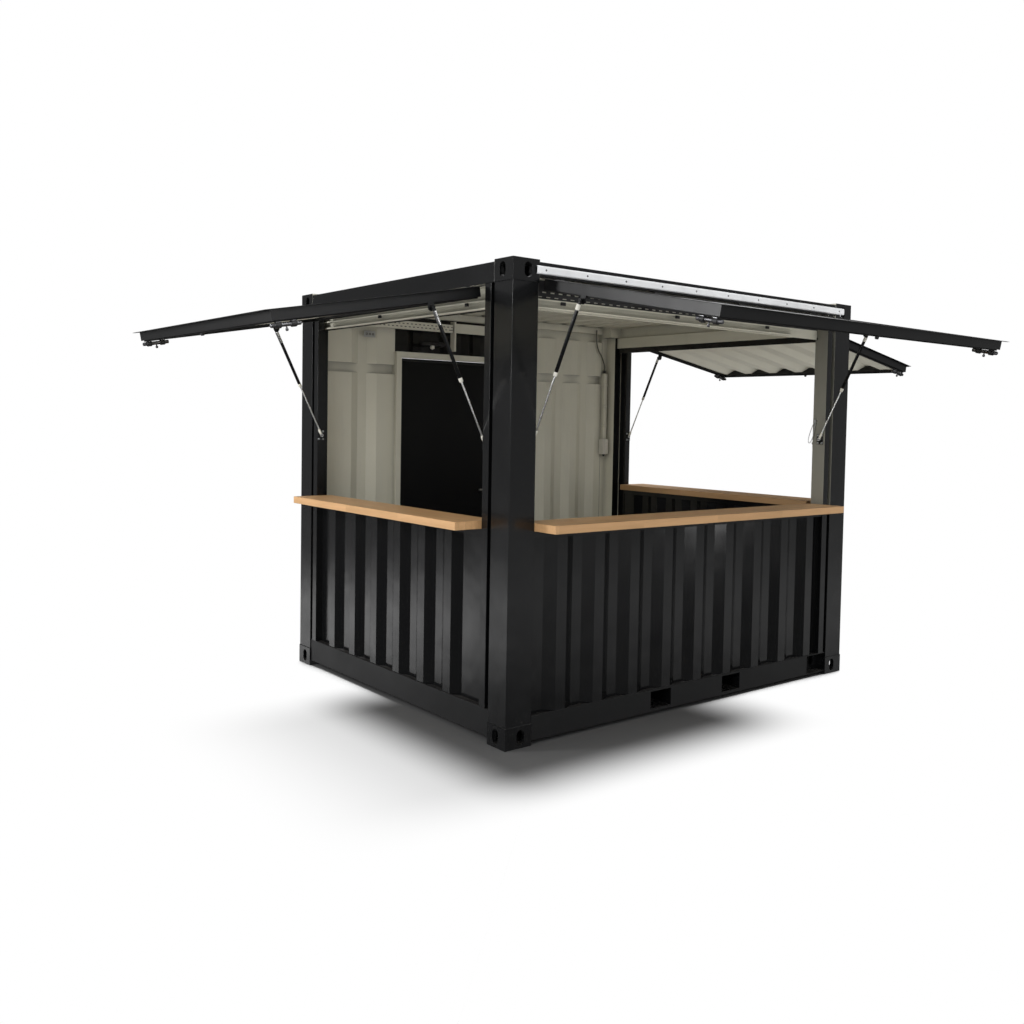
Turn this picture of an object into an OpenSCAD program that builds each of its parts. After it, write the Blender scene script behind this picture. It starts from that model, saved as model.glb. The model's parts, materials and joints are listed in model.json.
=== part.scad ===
// Street kiosk: a ten foot container body with a serving hatch in the front and in both ends.
// Each hatch has a top-hinged corrugated flap on two gas struts over a timber counter.
// Origin: centre of the footprint at ground level. X runs along the front, -Y faces the street, Z is up.

/* [Container body] */
// Length over the corner castings
body_l = 2991; // [2900:1:3100]
// Width over the corner castings
body_w = 2438; // [2380:1:2500]
// Height over the corner castings
body_h = 2591; // [2560:1:2640]

/* [Corner castings] */
// Length of a corner casting along X
casting_l = 178; // [170:1:190]
// Width of a corner casting along Y
casting_w = 162; // [155:1:165]
// Height of a corner casting
casting_h = 118; // [110:1:125]
// Wall of a corner casting
casting_wall = 28; // [20:1:32]
// Distance from the casting's end face to the middle of its holes, along X
hole_in_x = 102; // [95:0.5:110]
// Distance from the casting's side face to the middle of its holes, along Y
hole_in_y = 89.5; // [85:0.5:95]
// Length of the bottom and top holes
hole_l = 124; // [110:1:126]
// Width of the bottom and top holes
hole_w = 63.5; // [50:0.5:66]
// Width of the side holes
side_hole_w = 51; // [40:1:56]
// Height of the side holes
side_hole_l = 80; // [60:1:86]

/* [Corner posts] */
// Post face along X, measured from the outer corner
post_l = 174; // [168:1:182]
// Post face along Y, measured from the outer corner
post_w = 162; // [155:1:165]
// Body of a back post along X, measured from the outer corner
back_post_l = 123; // [100:1:150]
// Wall of a post
post_wall = 6; // [3:0.5:10]
// Distance from the casting faces back to the post faces
post_inset = 3; // [0:0.5:6]

/* [Rails] */
// Height of the bottom side rails above the ground
side_rail_z = 24; // [12:1:30]
// Depth of the bottom side rails
side_rail_h = 132; // [126:1:140]
// Flange width of the bottom side rails
side_rail_d = 60; // [40:1:80]
// Height of the bottom end rails above the ground
end_rail_z = 36; // [20:1:44]
// Wall of the rails and headers
rail_wall = 5; // [3:0.5:8]
// Distance from the casting faces back to the bottom rails
rail_inset = 8; // [3:1:10]
// Height of the top side rails
top_rail_h = 52; // [50:1:64]
// Depth of the top rails and headers, front to back
top_rail_d = 60; // [50:1:70]
// Height of the end headers
header_h = 109; // [100:1:118]
// Drop of the header tops below the casting tops
header_drop = 12; // [4:1:16]

// Length of the open end of the front bottom rail, beside the right casting
rail_open_l = 200; // [100:10:300]

/* [Hatch jambs] */
// Gap between a jamb and the post beside it
jamb_gap = 30; // [20:1:40]
// Width of a jamb's face
jamb_w = 54; // [40:1:60]
// Depth of the front hatch's jamb
front_jamb_d = 100; // [50:1:110]
// Depth of the end hatches' jambs
end_jamb_d = 50; // [45:1:80]
// Distance from the casting faces back to the jambs
jamb_inset = 3; // [0:0.5:6]
// Wall of the jambs
jamb_wall = 3; // [2:0.5:5]

/* [Lintels] */
// Depth of the lintels' plates behind the casting faces
lintel_in = 92; // [86:1:110]
// Drop of the lintels' lower edges below the top side rails
lintel_drop = 166; // [120:1:180]
// Thickness of a lintel
lintel_t = 4; // [3:0.5:6]
// Lap of a lintel's flange under the rail or header that carries it
lintel_lap = 6; // [3:1:7]
// Height of the service channels on the lintels
channel_h = 50; // [40:1:60]
// Depth of the service channels
channel_d = 28; // [20:1:30]
// Wall of the service channels
channel_wall = 2; // [1.5:0.5:3]
// Distance from the lintels' lower edges up to the service channels
channel_rise = 8; // [0:1:20]
// Distance from the front jamb back to the end of the front service channel
channel_short = 305; // [0:5:500]

/* [Fork pockets] */
// Distance from the middle to each fork pocket
fork_x = 319; // [300:1:340]
// Clear width of a fork pocket
fork_w = 168; // [150:1:180]
// Clear height of a fork pocket
fork_h = 102; // [90:1:104]
// Height of the pocket floor above the ground
fork_z = 42; // [40:1:44]
// Wall of a fork pocket
fork_wall = 4; // [3:0.5:6]

/* [Floor] */
// Thickness of the floor deck
deck_t = 28; // [21:1:32]
// Flange of the floor cross members
cross_w = 45; // [30:1:60]
// Web and flange thickness of the cross members
cross_wall = 4; // [3:0.5:6]
// Clear distance between a fork pocket and the cross members beside it
cross_clear = 40; // [20:5:80]
// Distance from the corner castings to the last cross member
cross_last = 60; // [20:5:100]
// Gap between the deck and the walls around it
deck_gap = 2; // [1:0.5:4]

/* [Corrugated walls] */
// Distance between the ribs of the corrugation
rib_pitch = 278; // [260:1:290]
// Width of the flat of an outer rib
rib_flat = 72; // [60:1:80]
// Width of the slope on each side of a rib
rib_slope = 68; // [50:1:75]
// Depth of the corrugation
rib_depth = 36; // [25:1:42]
// Thickness of the sheet
sheet_t = 2; // [1.5:0.5:3]
// Distance from the casting faces back to the wall sheets
wall_inset = 12; // [10:1:16]
// Shift of the end wall ribs towards the front
end_rib_shift = 83; // [0:1:110]
// Distance from the middle to the back wall's first inward column left of the door
back_column_left = 884.5; // [860:0.5:900]
// Distance from the middle to the back wall's second inward column right of the door
back_column_right = 727.5; // [700:0.5:760]
// Height of the flat band across the back wall's columns
band_z = 2068; // [1900:1:2200]
// Width of the flat band
band_h = 73; // [40:1:100]
// Height of the back wall's flat head above the columns
head_h = 73; // [40:1:100]

/* [Roof] */
// Distance between the roof ribs
roof_pitch = 209; // [190:1:230]
// Depth of the roof corrugation
roof_depth = 20; // [15:1:22]
// Gap between the roof's long edges and the rails' upstands
roof_gap = 2; // [1:0.5:4]
// Width of a roof rib's flat
roof_flat = 90; // [70:1:95]
// Width of a roof rib's slope
roof_slope = 14; // [8:1:18]

/* [Counters] */
// Height of the counter tops above the ground
counter_z = 1200; // [1150:1:1210]
// Thickness of a counter board
counter_t = 45; // [30:1:55]
// Overhang of a counter beyond the casting faces
counter_out = 170; // [120:1:200]
// Reach of a counter into the room from the casting faces
counter_in = 110; // [90:1:130]
// Gap between a counter and what stands beside it
counter_gap = 2; // [1:0.5:5]
// Height of the sill rail under a counter
sill_h = 40; // [30:1:50]
// Depth of the sill rail under a counter
sill_d = 48; // [44:1:55]

/* [Flaps] */
// Drop of the front flap's hinge axis below the top side rail
front_hinge_drop = 11; // [9:0.5:17]
// Drop of the end flaps' hinge axes below the end headers
end_hinge_drop = 10; // [8:0.5:20]
// Gap between a closed flap and the counter under it
flap_rest_gap = 8; // [6:1:20]
// Slope of the open front flap below the horizontal
front_droop = 10.5; // [5:0.5:15]
// Slope of the open end flaps below the horizontal
end_droop = 10.5; // [5:0.5:15]
// Width of the flap frame's bars, in the flap's plane
bar_w = 50; // [40:1:60]
// Depth of the flap frame's bars, across the flap's plane
bar_d = 55; // [50:1:58]
// Wall of the flap frame's bars
bar_wall = 3; // [2:0.5:5]
// Gap between the hinge axis and the flap's first bar
hinge_gap = 12; // [11:1:16]
// Width of the drip lip along the flap's outer edge
lip_w = 35; // [20:1:45]
// Thickness of the drip lip
lip_t = 4; // [2:0.5:6]
// Reach of a flap's side flange over the strut beside it
side_lip_w = 21; // [10:1:22]
// Thickness of a flap's side flange
side_lip_t = 2; // [1.5:0.5:3]
// Radius of the hinge knuckles
knuckle_r = 6; // [5:0.5:6.5]
// Length of a hinge knuckle
knuckle_l = 30; // [20:1:40]
// Radius of the hinge pins
hinge_pin_r = 3; // [2:0.5:4]
// Distance between hinges
knuckle_pitch = 640; // [500:10:800]
// Distance from a flap's side to its first hinge
knuckle_end = 130; // [110:5:200]
// Distance from the left corner to the hinge cover strip
strip_left = 154; // [100:1:200]
// Distance from the right corner to the hinge cover strip
strip_right = 93; // [60:1:200]
// Height of the hinge cover strip
strip_h = 44; // [30:1:50]
// Depth of the hinge cover strip
strip_t = 10; // [4:1:14]
// Wall of the hinge cover strip
strip_wall = 2; // [1.5:0.5:3]
// Rise of the hinge cover strip above the top side rail's lower edge
strip_rise = 10; // [4:1:14]

/* [Flap latches] */
// Distance from a flap's side to its latches
latch_in = 25; // [20:1:30]
// Distance from a flap's outer bar to the latches' outer ends
latch_end = 4; // [0:1:20]
// Length of a latch's bolt
latch_l = 150; // [120:5:180]
// Radius of a latch's bolt
latch_r = 11; // [8:0.5:13]
// Width of a latch's brackets along the bolt
latch_bracket_l = 26; // [16:1:40]
// Distance from the bolt's ends to the brackets
latch_bracket_end = 22; // [10:1:40]
// Distance from the flap's bar to the bolt's axis
latch_drop = 22; // [18:1:26]

/* [Gas struts] */
// Distance from the hinge axis to the strut's pivot along the flap
strut_u = 335; // [300:1:340]
// Distance from the flap's outer face to the strut's upper pivot
strut_w = 80; // [76:1:90]
// Drop of the struts' lower pivots below the hinge axis
strut_foot_drop = 844; // [835:1:850]
// Radius of a strut's tube
strut_tube_r = 10; // [9:0.5:11.5]
// Gap on each side of a strut, to the post and to the flap
strut_side_gap = 5; // [5:0.5:8]
// Depth of the front struts' lower pivots behind the casting faces
front_foot_in = 40; // [28:1:60]
// Depth of the end struts' lower pivots behind the casting faces
end_foot_in = 28; // [26:1:30]
// Length of a strut's tube, from its upper pivot
strut_tube_l = 420; // [410:1:425]
// Radius of a strut's rod
strut_rod_r = 5; // [4:0.5:6]
// Length of a strut's rod, from its lower pivot
strut_rod_l = 440; // [435:1:445]
// Radius of the pivot pins
pivot_r = 5; // [4:0.5:6]
// Radius of a strut's end eyes
eye_r = 11; // [9:0.5:12]
// Thickness of a strut's end eyes
eye_t = 12; // [8:1:14]

/* [Back door] */
// Distance from the middle to the door frame's left side
door_x = 769.5; // [740:0.5:800]
// Width of the door leaf
leaf_w = 890; // [800:5:950]
// Height of the wall between the door frame and the top side rail
door_over = 265; // [170:1:300]
// Width of the door frame's face
door_frame_w = 43; // [35:1:50]
// Depth of the door frame
door_frame_d = 66; // [60:1:70]
// Thickness of the door leaf
leaf_t = 44; // [35:1:45]
// Gap around the door leaf
leaf_gap = 5; // [5:0.5:8]
// Distance from the casting faces back to the door frame
door_inset = 16; // [14:1:20]
// Length of the hinge halves screwed to the leaf
door_hinge_l = 50; // [40:1:60]
// Thickness of the door hinges
door_hinge_t = 4; // [3:0.5:5]
// Distance from the leaf's ends to its outer hinges
door_hinge_end = 200; // [120:10:300]
// Height of the door handle above the floor deck
handle_z = 1000; // [900:10:1100]
// Distance from the leaf's edge to the handle's spindle
handle_in = 60; // [40:5:80]
// Length of the door handle
handle_l = 120; // [90:5:150]
// Reach of the door handle from the leaf
handle_out = 45; // [35:1:60]
// Radius of the door handle
handle_r = 9; // [7:0.5:12]
// Height of the handle's plate
handle_plate_h = 160; // [100:5:200]
// Width of the handle's plate
handle_plate_w = 40; // [30:1:50]

/* [Wiring] */
// Distance from the right casting faces to the middle of the wiring trunk
trunk_in = 160; // [150:1:165]
// Width and depth of the wiring trunk
trunk_w = 38; // [30:1:45]
// Drop of the trunk's top below the body's top
trunk_drop = 426; // [300:1:600]
// Height of the socket box's top above the ground
socket_top = 1592; // [1400:1:1700]
// Height of the socket box
socket_h = 133; // [100:1:160]
// Width of the socket box
socket_w = 66; // [60:1:80]
// Depth of the socket box
socket_d = 52; // [40:1:60]

/* [Hidden] */
$fn = 32;

BLACK = [0.06, 0.06, 0.065];
CREAM = [0.82, 0.82, 0.78];
OAK = [0.72, 0.55, 0.36];
ZINC = [0.75, 0.76, 0.77];
eps = 0.5;
FRONT = 0;
LEFT = -90;
RIGHT = 90;
side_rail_top = side_rail_z + side_rail_h;
end_rail_top = side_rail_top + deck_t + 1;
deck_top = side_rail_top + deck_t;
header_top = body_h - header_drop;
header_z = header_top - header_h;
top_rail_top = header_top - roof_depth - sheet_t;
top_rail_z = top_rail_top - top_rail_h;
door_head_z = top_rail_z - door_over;
counter_under = counter_z - counter_t;
wall_top = counter_under - sill_h;
pin_gap = 0.08;
pin_end_gap = 0.6;
lug_t = 6;
lug_r = 20;
knuckle_gap = 1;
bracket_t = 4;
bracket_w = 50;
bracket_h = 70;
strut_room = 2 * (strut_tube_r + strut_side_gap);

// ---- helpers ----

// Puts children in the four corners, mirrored, from the one at -X and -Y
module at_corners() {
    for (sx = [0, 1], sy = [0, 1]) {
        mirror([sx, 0, 0])
            mirror([0, sy, 0])
                translate([-body_l / 2, -body_w / 2, 0])
                    children();
    }
}

// Face frame: x runs along the face, y from the casting faces into the room, z up
module on_face(turn) {
    rotate([0, 0, turn])
        translate([0, -(turn == FRONT ? body_w : body_l) / 2, 0])
            children();
}

// Sides of a face's opening, s = -1 or 1: a jamb, or on the front's left side the post itself
function post_side(turn) = turn == FRONT ? body_l / 2 - post_l : body_w / 2 - post_w;
function has_jamb(turn, s) = turn != FRONT || s > 0;
function side_x(turn, s) = s * (post_side(turn) - (has_jamb(turn, s) ? jamb_gap + jamb_w : 0));
function jamb_d(turn) = turn == FRONT ? front_jamb_d : end_jamb_d;

// Sides, middle and half width of a flap, which leaves room for a strut on each side
function flap_side(turn, s) = side_x(turn, s) - s * strut_room;
function flap_mid(turn) = (flap_side(turn, -1) + flap_side(turn, 1)) / 2;
function flap_half(turn) = (flap_side(turn, 1) - flap_side(turn, -1)) / 2;
function hinge_z(turn) = turn == FRONT ? top_rail_z - front_hinge_drop : header_z - end_hinge_drop;
function droop(turn) = turn == FRONT ? front_droop : end_droop;
function rib_phase(turn) = turn == FRONT ? 0 : turn == LEFT ? end_rib_shift : -end_rib_shift;
function flap_l(turn) = hinge_z(turn) - counter_z - flap_rest_gap;

// Strut pivots with the flap open: y outward is negative
function strut_x(turn, s) = side_x(turn, s) - s * strut_room / 2;
function foot_y(turn) = turn == FRONT ? front_foot_in : end_foot_in;
function foot_z(turn) = hinge_z(turn) - strut_foot_drop;
function pivot_y(turn) = -strut_u * cos(droop(turn)) + strut_w * sin(droop(turn));
function pivot_z(turn) = hinge_z(turn) - strut_u * sin(droop(turn)) - strut_w * cos(droop(turn));
function strut_len(turn) = norm([foot_y(turn) - pivot_y(turn), pivot_z(turn) - foot_z(turn)]);
function strut_tilt(turn) = atan2(foot_y(turn) - pivot_y(turn), pivot_z(turn) - foot_z(turn));

// Line of a trapezoid corrugation from x = a to x = b, ribs at y = 0 and valleys at y = depth
function rib_line(a, b, phase, pitch, flat, slope, depth) =
    let (
        half = flat / 2 + slope,
        first = ceil((a + half - phase) / pitch),
        last = floor((b - half - phase) / pitch)
    )
    concat(
        [[a, depth]],
        [for (k = [first:last], p = [[-half, depth], [-flat / 2, 0], [flat / 2, 0], [half, depth]])
            [phase + k * pitch + p[0], p[1]]],
        [[b, depth]]
    );

// Section of a sheet that follows a line, thickened towards +y
module sheet_section(line) {
    back = [for (i = [len(line) - 1:-1:0]) line[i] + [0, sheet_t]];
    polygon(concat(line, back));
}

module wall_section(a, b, phase) {
    sheet_section(rib_line(a, b, phase, rib_pitch, rib_flat, rib_slope, rib_depth));
}

// Slot of length l along x and width w, cut along z
module slot(l, w, h) {
    for (s = [-1, 1]) {
        translate([s * (l - w) / 2, 0, 0])
            cylinder(d = w, h = h);
    }
    translate([-(l - w) / 2, -w / 2, 0])
        cube([l - w, w, h]);
}

// Rectangular tube of size s, hollow along one axis
module tube_x(s, wall) {
    difference() {
        cube(s);
        translate([-eps, wall, wall])
            cube([s[0] + 2 * eps, s[1] - 2 * wall, s[2] - 2 * wall]);
    }
}

// ---- corner castings and posts ----

module casting(up) {
    difference() {
        cube([casting_l, casting_w, casting_h]);
        translate([casting_wall, casting_wall, casting_wall])
            cube([casting_l, casting_w, casting_h - 2 * casting_wall]);
        translate([hole_in_x, hole_in_y, up ? casting_h - casting_wall - eps : -eps])
            slot(hole_l, hole_w, casting_wall + 2 * eps);
        translate([hole_in_x, -eps, casting_h / 2])
            rotate([-90, 90, 0])
                slot(side_hole_l, side_hole_w, casting_wall + 2 * eps);
        translate([-eps, hole_in_y, casting_h / 2])
            rotate([0, 90, 0])
                slot(side_hole_l, side_hole_w, casting_wall + 2 * eps);
    }
}

module corner_castings_bottom() {
    color(BLACK)
        at_corners()
            casting(false);
}

module corner_castings_top() {
    color(BLACK)
        at_corners()
            translate([0, 0, body_h - casting_h])
                casting(true);
}

// Hollow post that reaches l along X from the outer corner
module corner_post(l) {
    h = body_h - 2 * casting_h;
    translate([post_inset, post_inset, casting_h])
        difference() {
            cube([l - post_inset, post_w - post_inset, h]);
            translate([post_wall, post_wall, -eps])
                cube([l - post_inset - 2 * post_wall, post_w - post_inset - 2 * post_wall, h + 2 * eps]);
        }
}

module corner_posts_front() {
    color(BLACK)
        for (sx = [0, 1]) {
            mirror([sx, 0, 0])
                translate([-body_l / 2, -body_w / 2, 0])
                    corner_post(post_l);
        }
}

// The back posts are narrower and have a flange that the back wall meets
module corner_posts_back() {
    color(BLACK)
        for (sx = [0, 1]) {
            mirror([sx, 0, 0])
                mirror([0, 1, 0])
                    translate([-body_l / 2, -body_w / 2, 0]) {
                        corner_post(back_post_l);
                        translate([back_post_l - eps, wall_inset + rib_depth, casting_h])
                            cube([post_l - back_post_l + eps, post_wall, body_h - 2 * casting_h]);
                    }
        }
}

// ---- rails ----

// Tubes with an upstand on their outer faces that hides the roof's edge
module top_side_rails() {
    l = body_l - 2 * casting_l;
    color(BLACK)
        for (sy = [0, 1]) {
            mirror([0, sy, 0])
                translate([-l / 2, -body_w / 2, top_rail_z]) {
                    tube_x([l, top_rail_d, top_rail_h], rail_wall);
                    translate([0, 0, top_rail_h - eps])
                        cube([l, rail_wall, header_top - top_rail_top + eps]);
                }
        }
}

module end_headers() {
    l = body_w - 2 * casting_w;
    color(BLACK)
        for (turn = [LEFT, RIGHT]) {
            on_face(turn)
                translate([-l / 2, 0, header_z])
                    tube_x([l, top_rail_d, header_h], rail_wall);
        }
}

// Channel with its web outside and its flanges towards the room
module rail_channel(l, h, d) {
    translate([-l / 2, 0, 0])
        difference() {
            cube([l, d, h]);
            translate([-eps, rail_wall, rail_wall])
                cube([l + 2 * eps, d, h - 2 * rail_wall]);
        }
}

// Front and back rails, cut around the fork pockets; the front one's web ends short of its right casting
module bottom_side_rails() {
    end_x = body_l / 2 - casting_l;
    color(BLACK)
        for (sy = [0, 1]) {
            mirror([0, sy, 0])
                difference() {
                    translate([0, -body_w / 2 + rail_inset, side_rail_z])
                        rail_channel(2 * end_x, side_rail_h, side_rail_d);
                    for (s = [-1, 1]) {
                        translate([s * fork_x - fork_w / 2 - fork_wall, -body_w / 2, fork_z - fork_wall])
                            cube([
                                fork_w + 2 * fork_wall,
                                rail_inset + side_rail_d + eps,
                                fork_h + 2 * fork_wall
                            ]);
                    }
                    if (sy == 0)
                        translate([end_x - rail_open_l, -body_w / 2, side_rail_z + rail_wall])
                            cube([
                                rail_open_l + eps,
                                rail_inset + rail_wall + eps,
                                side_rail_h - 2 * rail_wall
                            ]);
                }
        }
}

module bottom_end_rails() {
    color(BLACK)
        for (turn = [LEFT, RIGHT]) {
            on_face(turn)
                translate([0, rail_inset, end_rail_z])
                    rail_channel(body_w - 2 * casting_w, end_rail_top - end_rail_z, side_rail_d);
        }
}

// ---- floor ----

module fork_pockets() {
    l = body_w - 2 * rail_inset;
    color(BLACK)
        for (s = [-1, 1]) {
            translate([s * fork_x - fork_w / 2 - fork_wall, -l / 2, fork_z - fork_wall])
                difference() {
                    cube([fork_w + 2 * fork_wall, l, fork_h + 2 * fork_wall]);
                    translate([fork_wall, -eps, fork_wall])
                        cube([fork_w, l + 2 * eps, fork_h]);
                }
        }
}

module cross_member(x) {
    l = body_w - 2 * (rail_inset + side_rail_d);
    translate([x, -l / 2, side_rail_z])
        difference() {
            cube([cross_w, l, side_rail_h]);
            translate([cross_wall, -eps, cross_wall])
                cube([cross_w, l + 2 * eps, side_rail_h - 2 * cross_wall]);
        }
}

module floor_cross_members() {
    inner = fork_x - fork_w / 2 - fork_wall - cross_w - cross_clear;
    outer = fork_x + fork_w / 2 + fork_wall + cross_clear;
    last = body_l / 2 - casting_l - cross_last;
    color(BLACK)
        for (s = [0, 1]) {
            mirror([s, 0, 0]) {
                cross_member(inner);
                for (k = [0:3]) {
                    cross_member(outer + k * (last - cross_w - outer) / 3);
                }
            }
        }
}

module floor_deck() {
    l = body_l - 2 * (rail_inset + side_rail_d + deck_gap);
    w = body_w - 2 * (wall_inset + rib_depth + sheet_t + deck_gap);
    color([0.45, 0.33, 0.22])
        difference() {
            translate([-l / 2, -w / 2, side_rail_top])
                cube([l, w, deck_t]);
            at_corners()
                cube([post_l + deck_gap, post_w + deck_gap, body_h]);
            translate([side_x(FRONT, 1) - deck_gap, -body_w / 2, 0])
                cube([jamb_gap + jamb_w + 2 * deck_gap, jamb_inset + front_jamb_d + deck_gap, body_h]);
            translate([-door_x - deck_gap, body_w / 2 - door_inset - door_frame_d - deck_gap, 0])
                cube([door_x + door_x1 + 2 * deck_gap, door_inset + door_frame_d, body_h]);
        }
}

// ---- walls and roof ----

module half_wall(turn, z0) {
    on_face(turn)
        translate([0, wall_inset, z0])
            linear_extrude(wall_top - z0)
                wall_section(side_x(turn, -1), side_x(turn, 1), rib_phase(turn));
}

module front_wall() {
    color(BLACK)
        half_wall(FRONT, side_rail_top);
}

module left_wall() {
    color(BLACK)
        half_wall(LEFT, end_rail_top);
}

module right_wall() {
    color(BLACK)
        half_wall(RIGHT, end_rail_top);
}

// Square tube with a plate behind it that closes the gap to the post
module hatch_jamb(turn, s) {
    d = jamb_d(turn);
    z0 = turn == FRONT ? side_rail_top : end_rail_top;
    h = (turn == FRONT ? top_rail_z : header_z) - z0;
    plate_h = min(h, body_h - casting_h - z0);
    on_face(turn)
        translate([side_x(turn, s), jamb_inset, z0])
            mirror([s > 0 ? 0 : 1, 0, 0]) {
                difference() {
                    cube([jamb_w, d, h]);
                    translate([jamb_wall, jamb_wall, -eps])
                        cube([jamb_w - 2 * jamb_wall, d - 2 * jamb_wall, h + 2 * eps]);
                }
                translate([jamb_w - eps, d - jamb_wall, 0])
                    cube([jamb_gap + eps, jamb_wall, plate_h]);
            }
}

module hatch_jambs() {
    color(BLACK)
        for (turn = [FRONT, LEFT, RIGHT], s = [-1, 1]) {
            if (has_jamb(turn, s))
                hatch_jamb(turn, s);
        }
}

// Ends of a face's lintel along the face: the castings, or on the front's right side the jamb
function lintel_x(turn, s) =
    turn == FRONT ? (s < 0 ? -body_l / 2 + casting_l : side_x(FRONT, 1)) : s * (body_w / 2 - casting_w);
lintel_z = top_rail_z - lintel_drop;

// Angle under the rail or header, with its plate behind the closed flap
module lintel(turn) {
    l = lintel_x(turn, 1) - lintel_x(turn, -1);
    h = (turn == FRONT ? top_rail_z : header_z) - lintel_z;
    flange_y = top_rail_d - lintel_lap;
    on_face(turn)
        translate([lintel_x(turn, -1), 0, lintel_z]) {
            translate([0, lintel_in, 0])
                cube([l, lintel_t, h]);
            translate([0, flange_y, h - lintel_t])
                cube([l, lintel_in + lintel_t - flange_y, lintel_t]);
        }
}

module front_lintel() {
    color(BLACK)
        lintel(FRONT);
}

module end_lintels() {
    color(CREAM)
        for (turn = [LEFT, RIGHT]) {
            lintel(turn);
        }
}

// Lipped channel on a lintel, open towards the street
module channel(turn) {
    l = lintel_x(turn, 1) - lintel_x(turn, -1) - (turn == FRONT ? channel_short : 0);
    lip = 4 * channel_wall;
    on_face(turn)
        translate([lintel_x(turn, -1), lintel_in - channel_d, lintel_z + channel_rise])
            difference() {
                cube([l, channel_d, channel_h]);
                translate([-eps, channel_wall, channel_wall])
                    cube([l + 2 * eps, channel_d - 2 * channel_wall, channel_h - 2 * channel_wall]);
                translate([-eps, -eps, lip])
                    cube([l + 2 * eps, channel_wall + 2 * eps, channel_h - 2 * lip]);
            }
}

module service_channel() {
    color(CREAM)
        channel(FRONT);
}

module end_channels() {
    color(CREAM)
        for (turn = [LEFT, RIGHT]) {
            channel(turn);
        }
}

// Back sheet: flat on the casting side, with columns pressed inwards between its flat bands
module back_columns(line, z0, z1) {
    translate([0, 0, z0])
        linear_extrude(z1 - z0)
            sheet_section(line);
}

// Flat band from z0 to z1, with a shelf that closes the columns' ends at its open edges
module back_band(line, z0, z1, edges) {
    a = line[0][0];
    b = line[len(line) - 1][0];
    translate([a, 0, z0])
        cube([b - a, sheet_t, z1 - z0]);
    for (z = edges) {
        translate([0, 0, z])
            linear_extrude(sheet_t)
                polygon(concat([[a, 0]], [for (p = line) p + [0, sheet_t]], [[b, 0]]));
    }
}

module back_sheet(x0, x1, z0, z1, phase) {
    line = rib_line(x0, x1, phase, rib_pitch, rib_flat, rib_slope, rib_depth);
    band_top = band_z + band_h;
    head_z = z1 - head_h;
    mirror([0, 1, 0])
        translate([0, -body_w / 2 + wall_inset, 0])
            difference() {
                union() {
                    if (z0 < band_z) {
                        back_columns(line, z0, band_z + eps);
                        back_band(line, band_z, band_top, [band_z, band_top - sheet_t]);
                    }
                    back_columns(line, max(z0, band_top - eps), head_z + eps);
                    back_band(line, head_z, z1, [head_z]);
                }
                for (s = [0, 1]) {
                    mirror([s, 0, 0])
                        translate([body_l / 2 - casting_l, -wall_inset - eps, body_h - casting_h])
                            cube([casting_l, casting_w, casting_h]);
                }
            }
}

door_x1 = -door_x + 2 * door_frame_w + 2 * leaf_gap + leaf_w;
back_rib_left = -back_column_left - rib_pitch / 2;
back_rib_right = back_column_right - rib_pitch / 2;

module back_wall_left() {
    color(BLACK)
        back_sheet(-post_side(FRONT), -door_x, side_rail_top, top_rail_z, back_rib_left);
}

module back_wall_right() {
    color(BLACK)
        back_sheet(door_x1, post_side(FRONT), side_rail_top, top_rail_z, back_rib_right);
}

module back_wall_over_door() {
    color(BLACK)
        back_sheet(-door_x, door_x1, door_head_z, top_rail_z, 0);
}

module roof_panel() {
    half = body_l / 2 - top_rail_d;
    w = body_w - 2 * (rail_wall + roof_gap);
    line = rib_line(-half, half, 0, roof_pitch, roof_flat, roof_slope, roof_depth);
    color(BLACK)
        difference() {
            translate([0, w / 2, top_rail_top + roof_depth + sheet_t])
                rotate([90, 0, 0])
                    linear_extrude(w)
                        mirror([0, 1])
                            sheet_section(line);
            at_corners()
                cube([casting_l, casting_w, body_h]);
        }
}

// ---- back door ----

module door_frame() {
    w = door_x + door_x1;
    color(CREAM)
        translate([-door_x, body_w / 2 - door_inset - door_frame_d, side_rail_top])
            difference() {
                cube([w, door_frame_d, door_head_z - side_rail_top]);
                translate([door_frame_w, -eps, deck_t])
                    cube([
                        w - 2 * door_frame_w,
                        door_frame_d + 2 * eps,
                        door_head_z - side_rail_top - deck_t - door_frame_w
                    ]);
            }
}

leaf_x = -door_x + door_frame_w + leaf_gap;
leaf_y = body_w / 2 - door_inset;
leaf_z = deck_top + leaf_gap;
leaf_h = door_head_z - door_frame_w - leaf_gap - leaf_z;

// Hinge axis of the door leaf, outside the frame's face
door_axis = [leaf_x - leaf_gap / 2, leaf_y + knuckle_r + 1];
door_hinge_zs = [leaf_z + door_hinge_end, leaf_z + leaf_h / 2, leaf_z + leaf_h - door_hinge_end];

module door_leaf() {
    color(BLACK) {
        translate([leaf_x, leaf_y - leaf_t, leaf_z])
            cube([leaf_w, leaf_t, leaf_h]);
        for (z = door_hinge_zs) {
            translate([door_axis[0], door_axis[1], z + knuckle_gap])
                difference() {
                    union() {
                        cylinder(r = knuckle_r, h = knuckle_l);
                        translate([0, -knuckle_r - 1 - eps, 0])
                            cube([door_hinge_l, door_hinge_t, knuckle_l]);
                    }
                    translate([0, 0, -eps])
                        cylinder(r = hinge_pin_r + pin_gap, h = knuckle_l + 2 * eps);
                }
        }
    }
}

// Frame halves of the door hinges, with their pins
module door_hinges() {
    color(ZINC)
        for (z = door_hinge_zs) {
            translate([door_axis[0], door_axis[1], z - knuckle_l]) {
                cylinder(r = knuckle_r, h = knuckle_l);
                cylinder(r = hinge_pin_r, h = 2 * knuckle_l + knuckle_gap);
                translate([-door_frame_w + leaf_gap / 2, -knuckle_r - 1, 0])
                    cube([door_frame_w - leaf_gap / 2, door_hinge_t, knuckle_l]);
            }
        }
}

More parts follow.
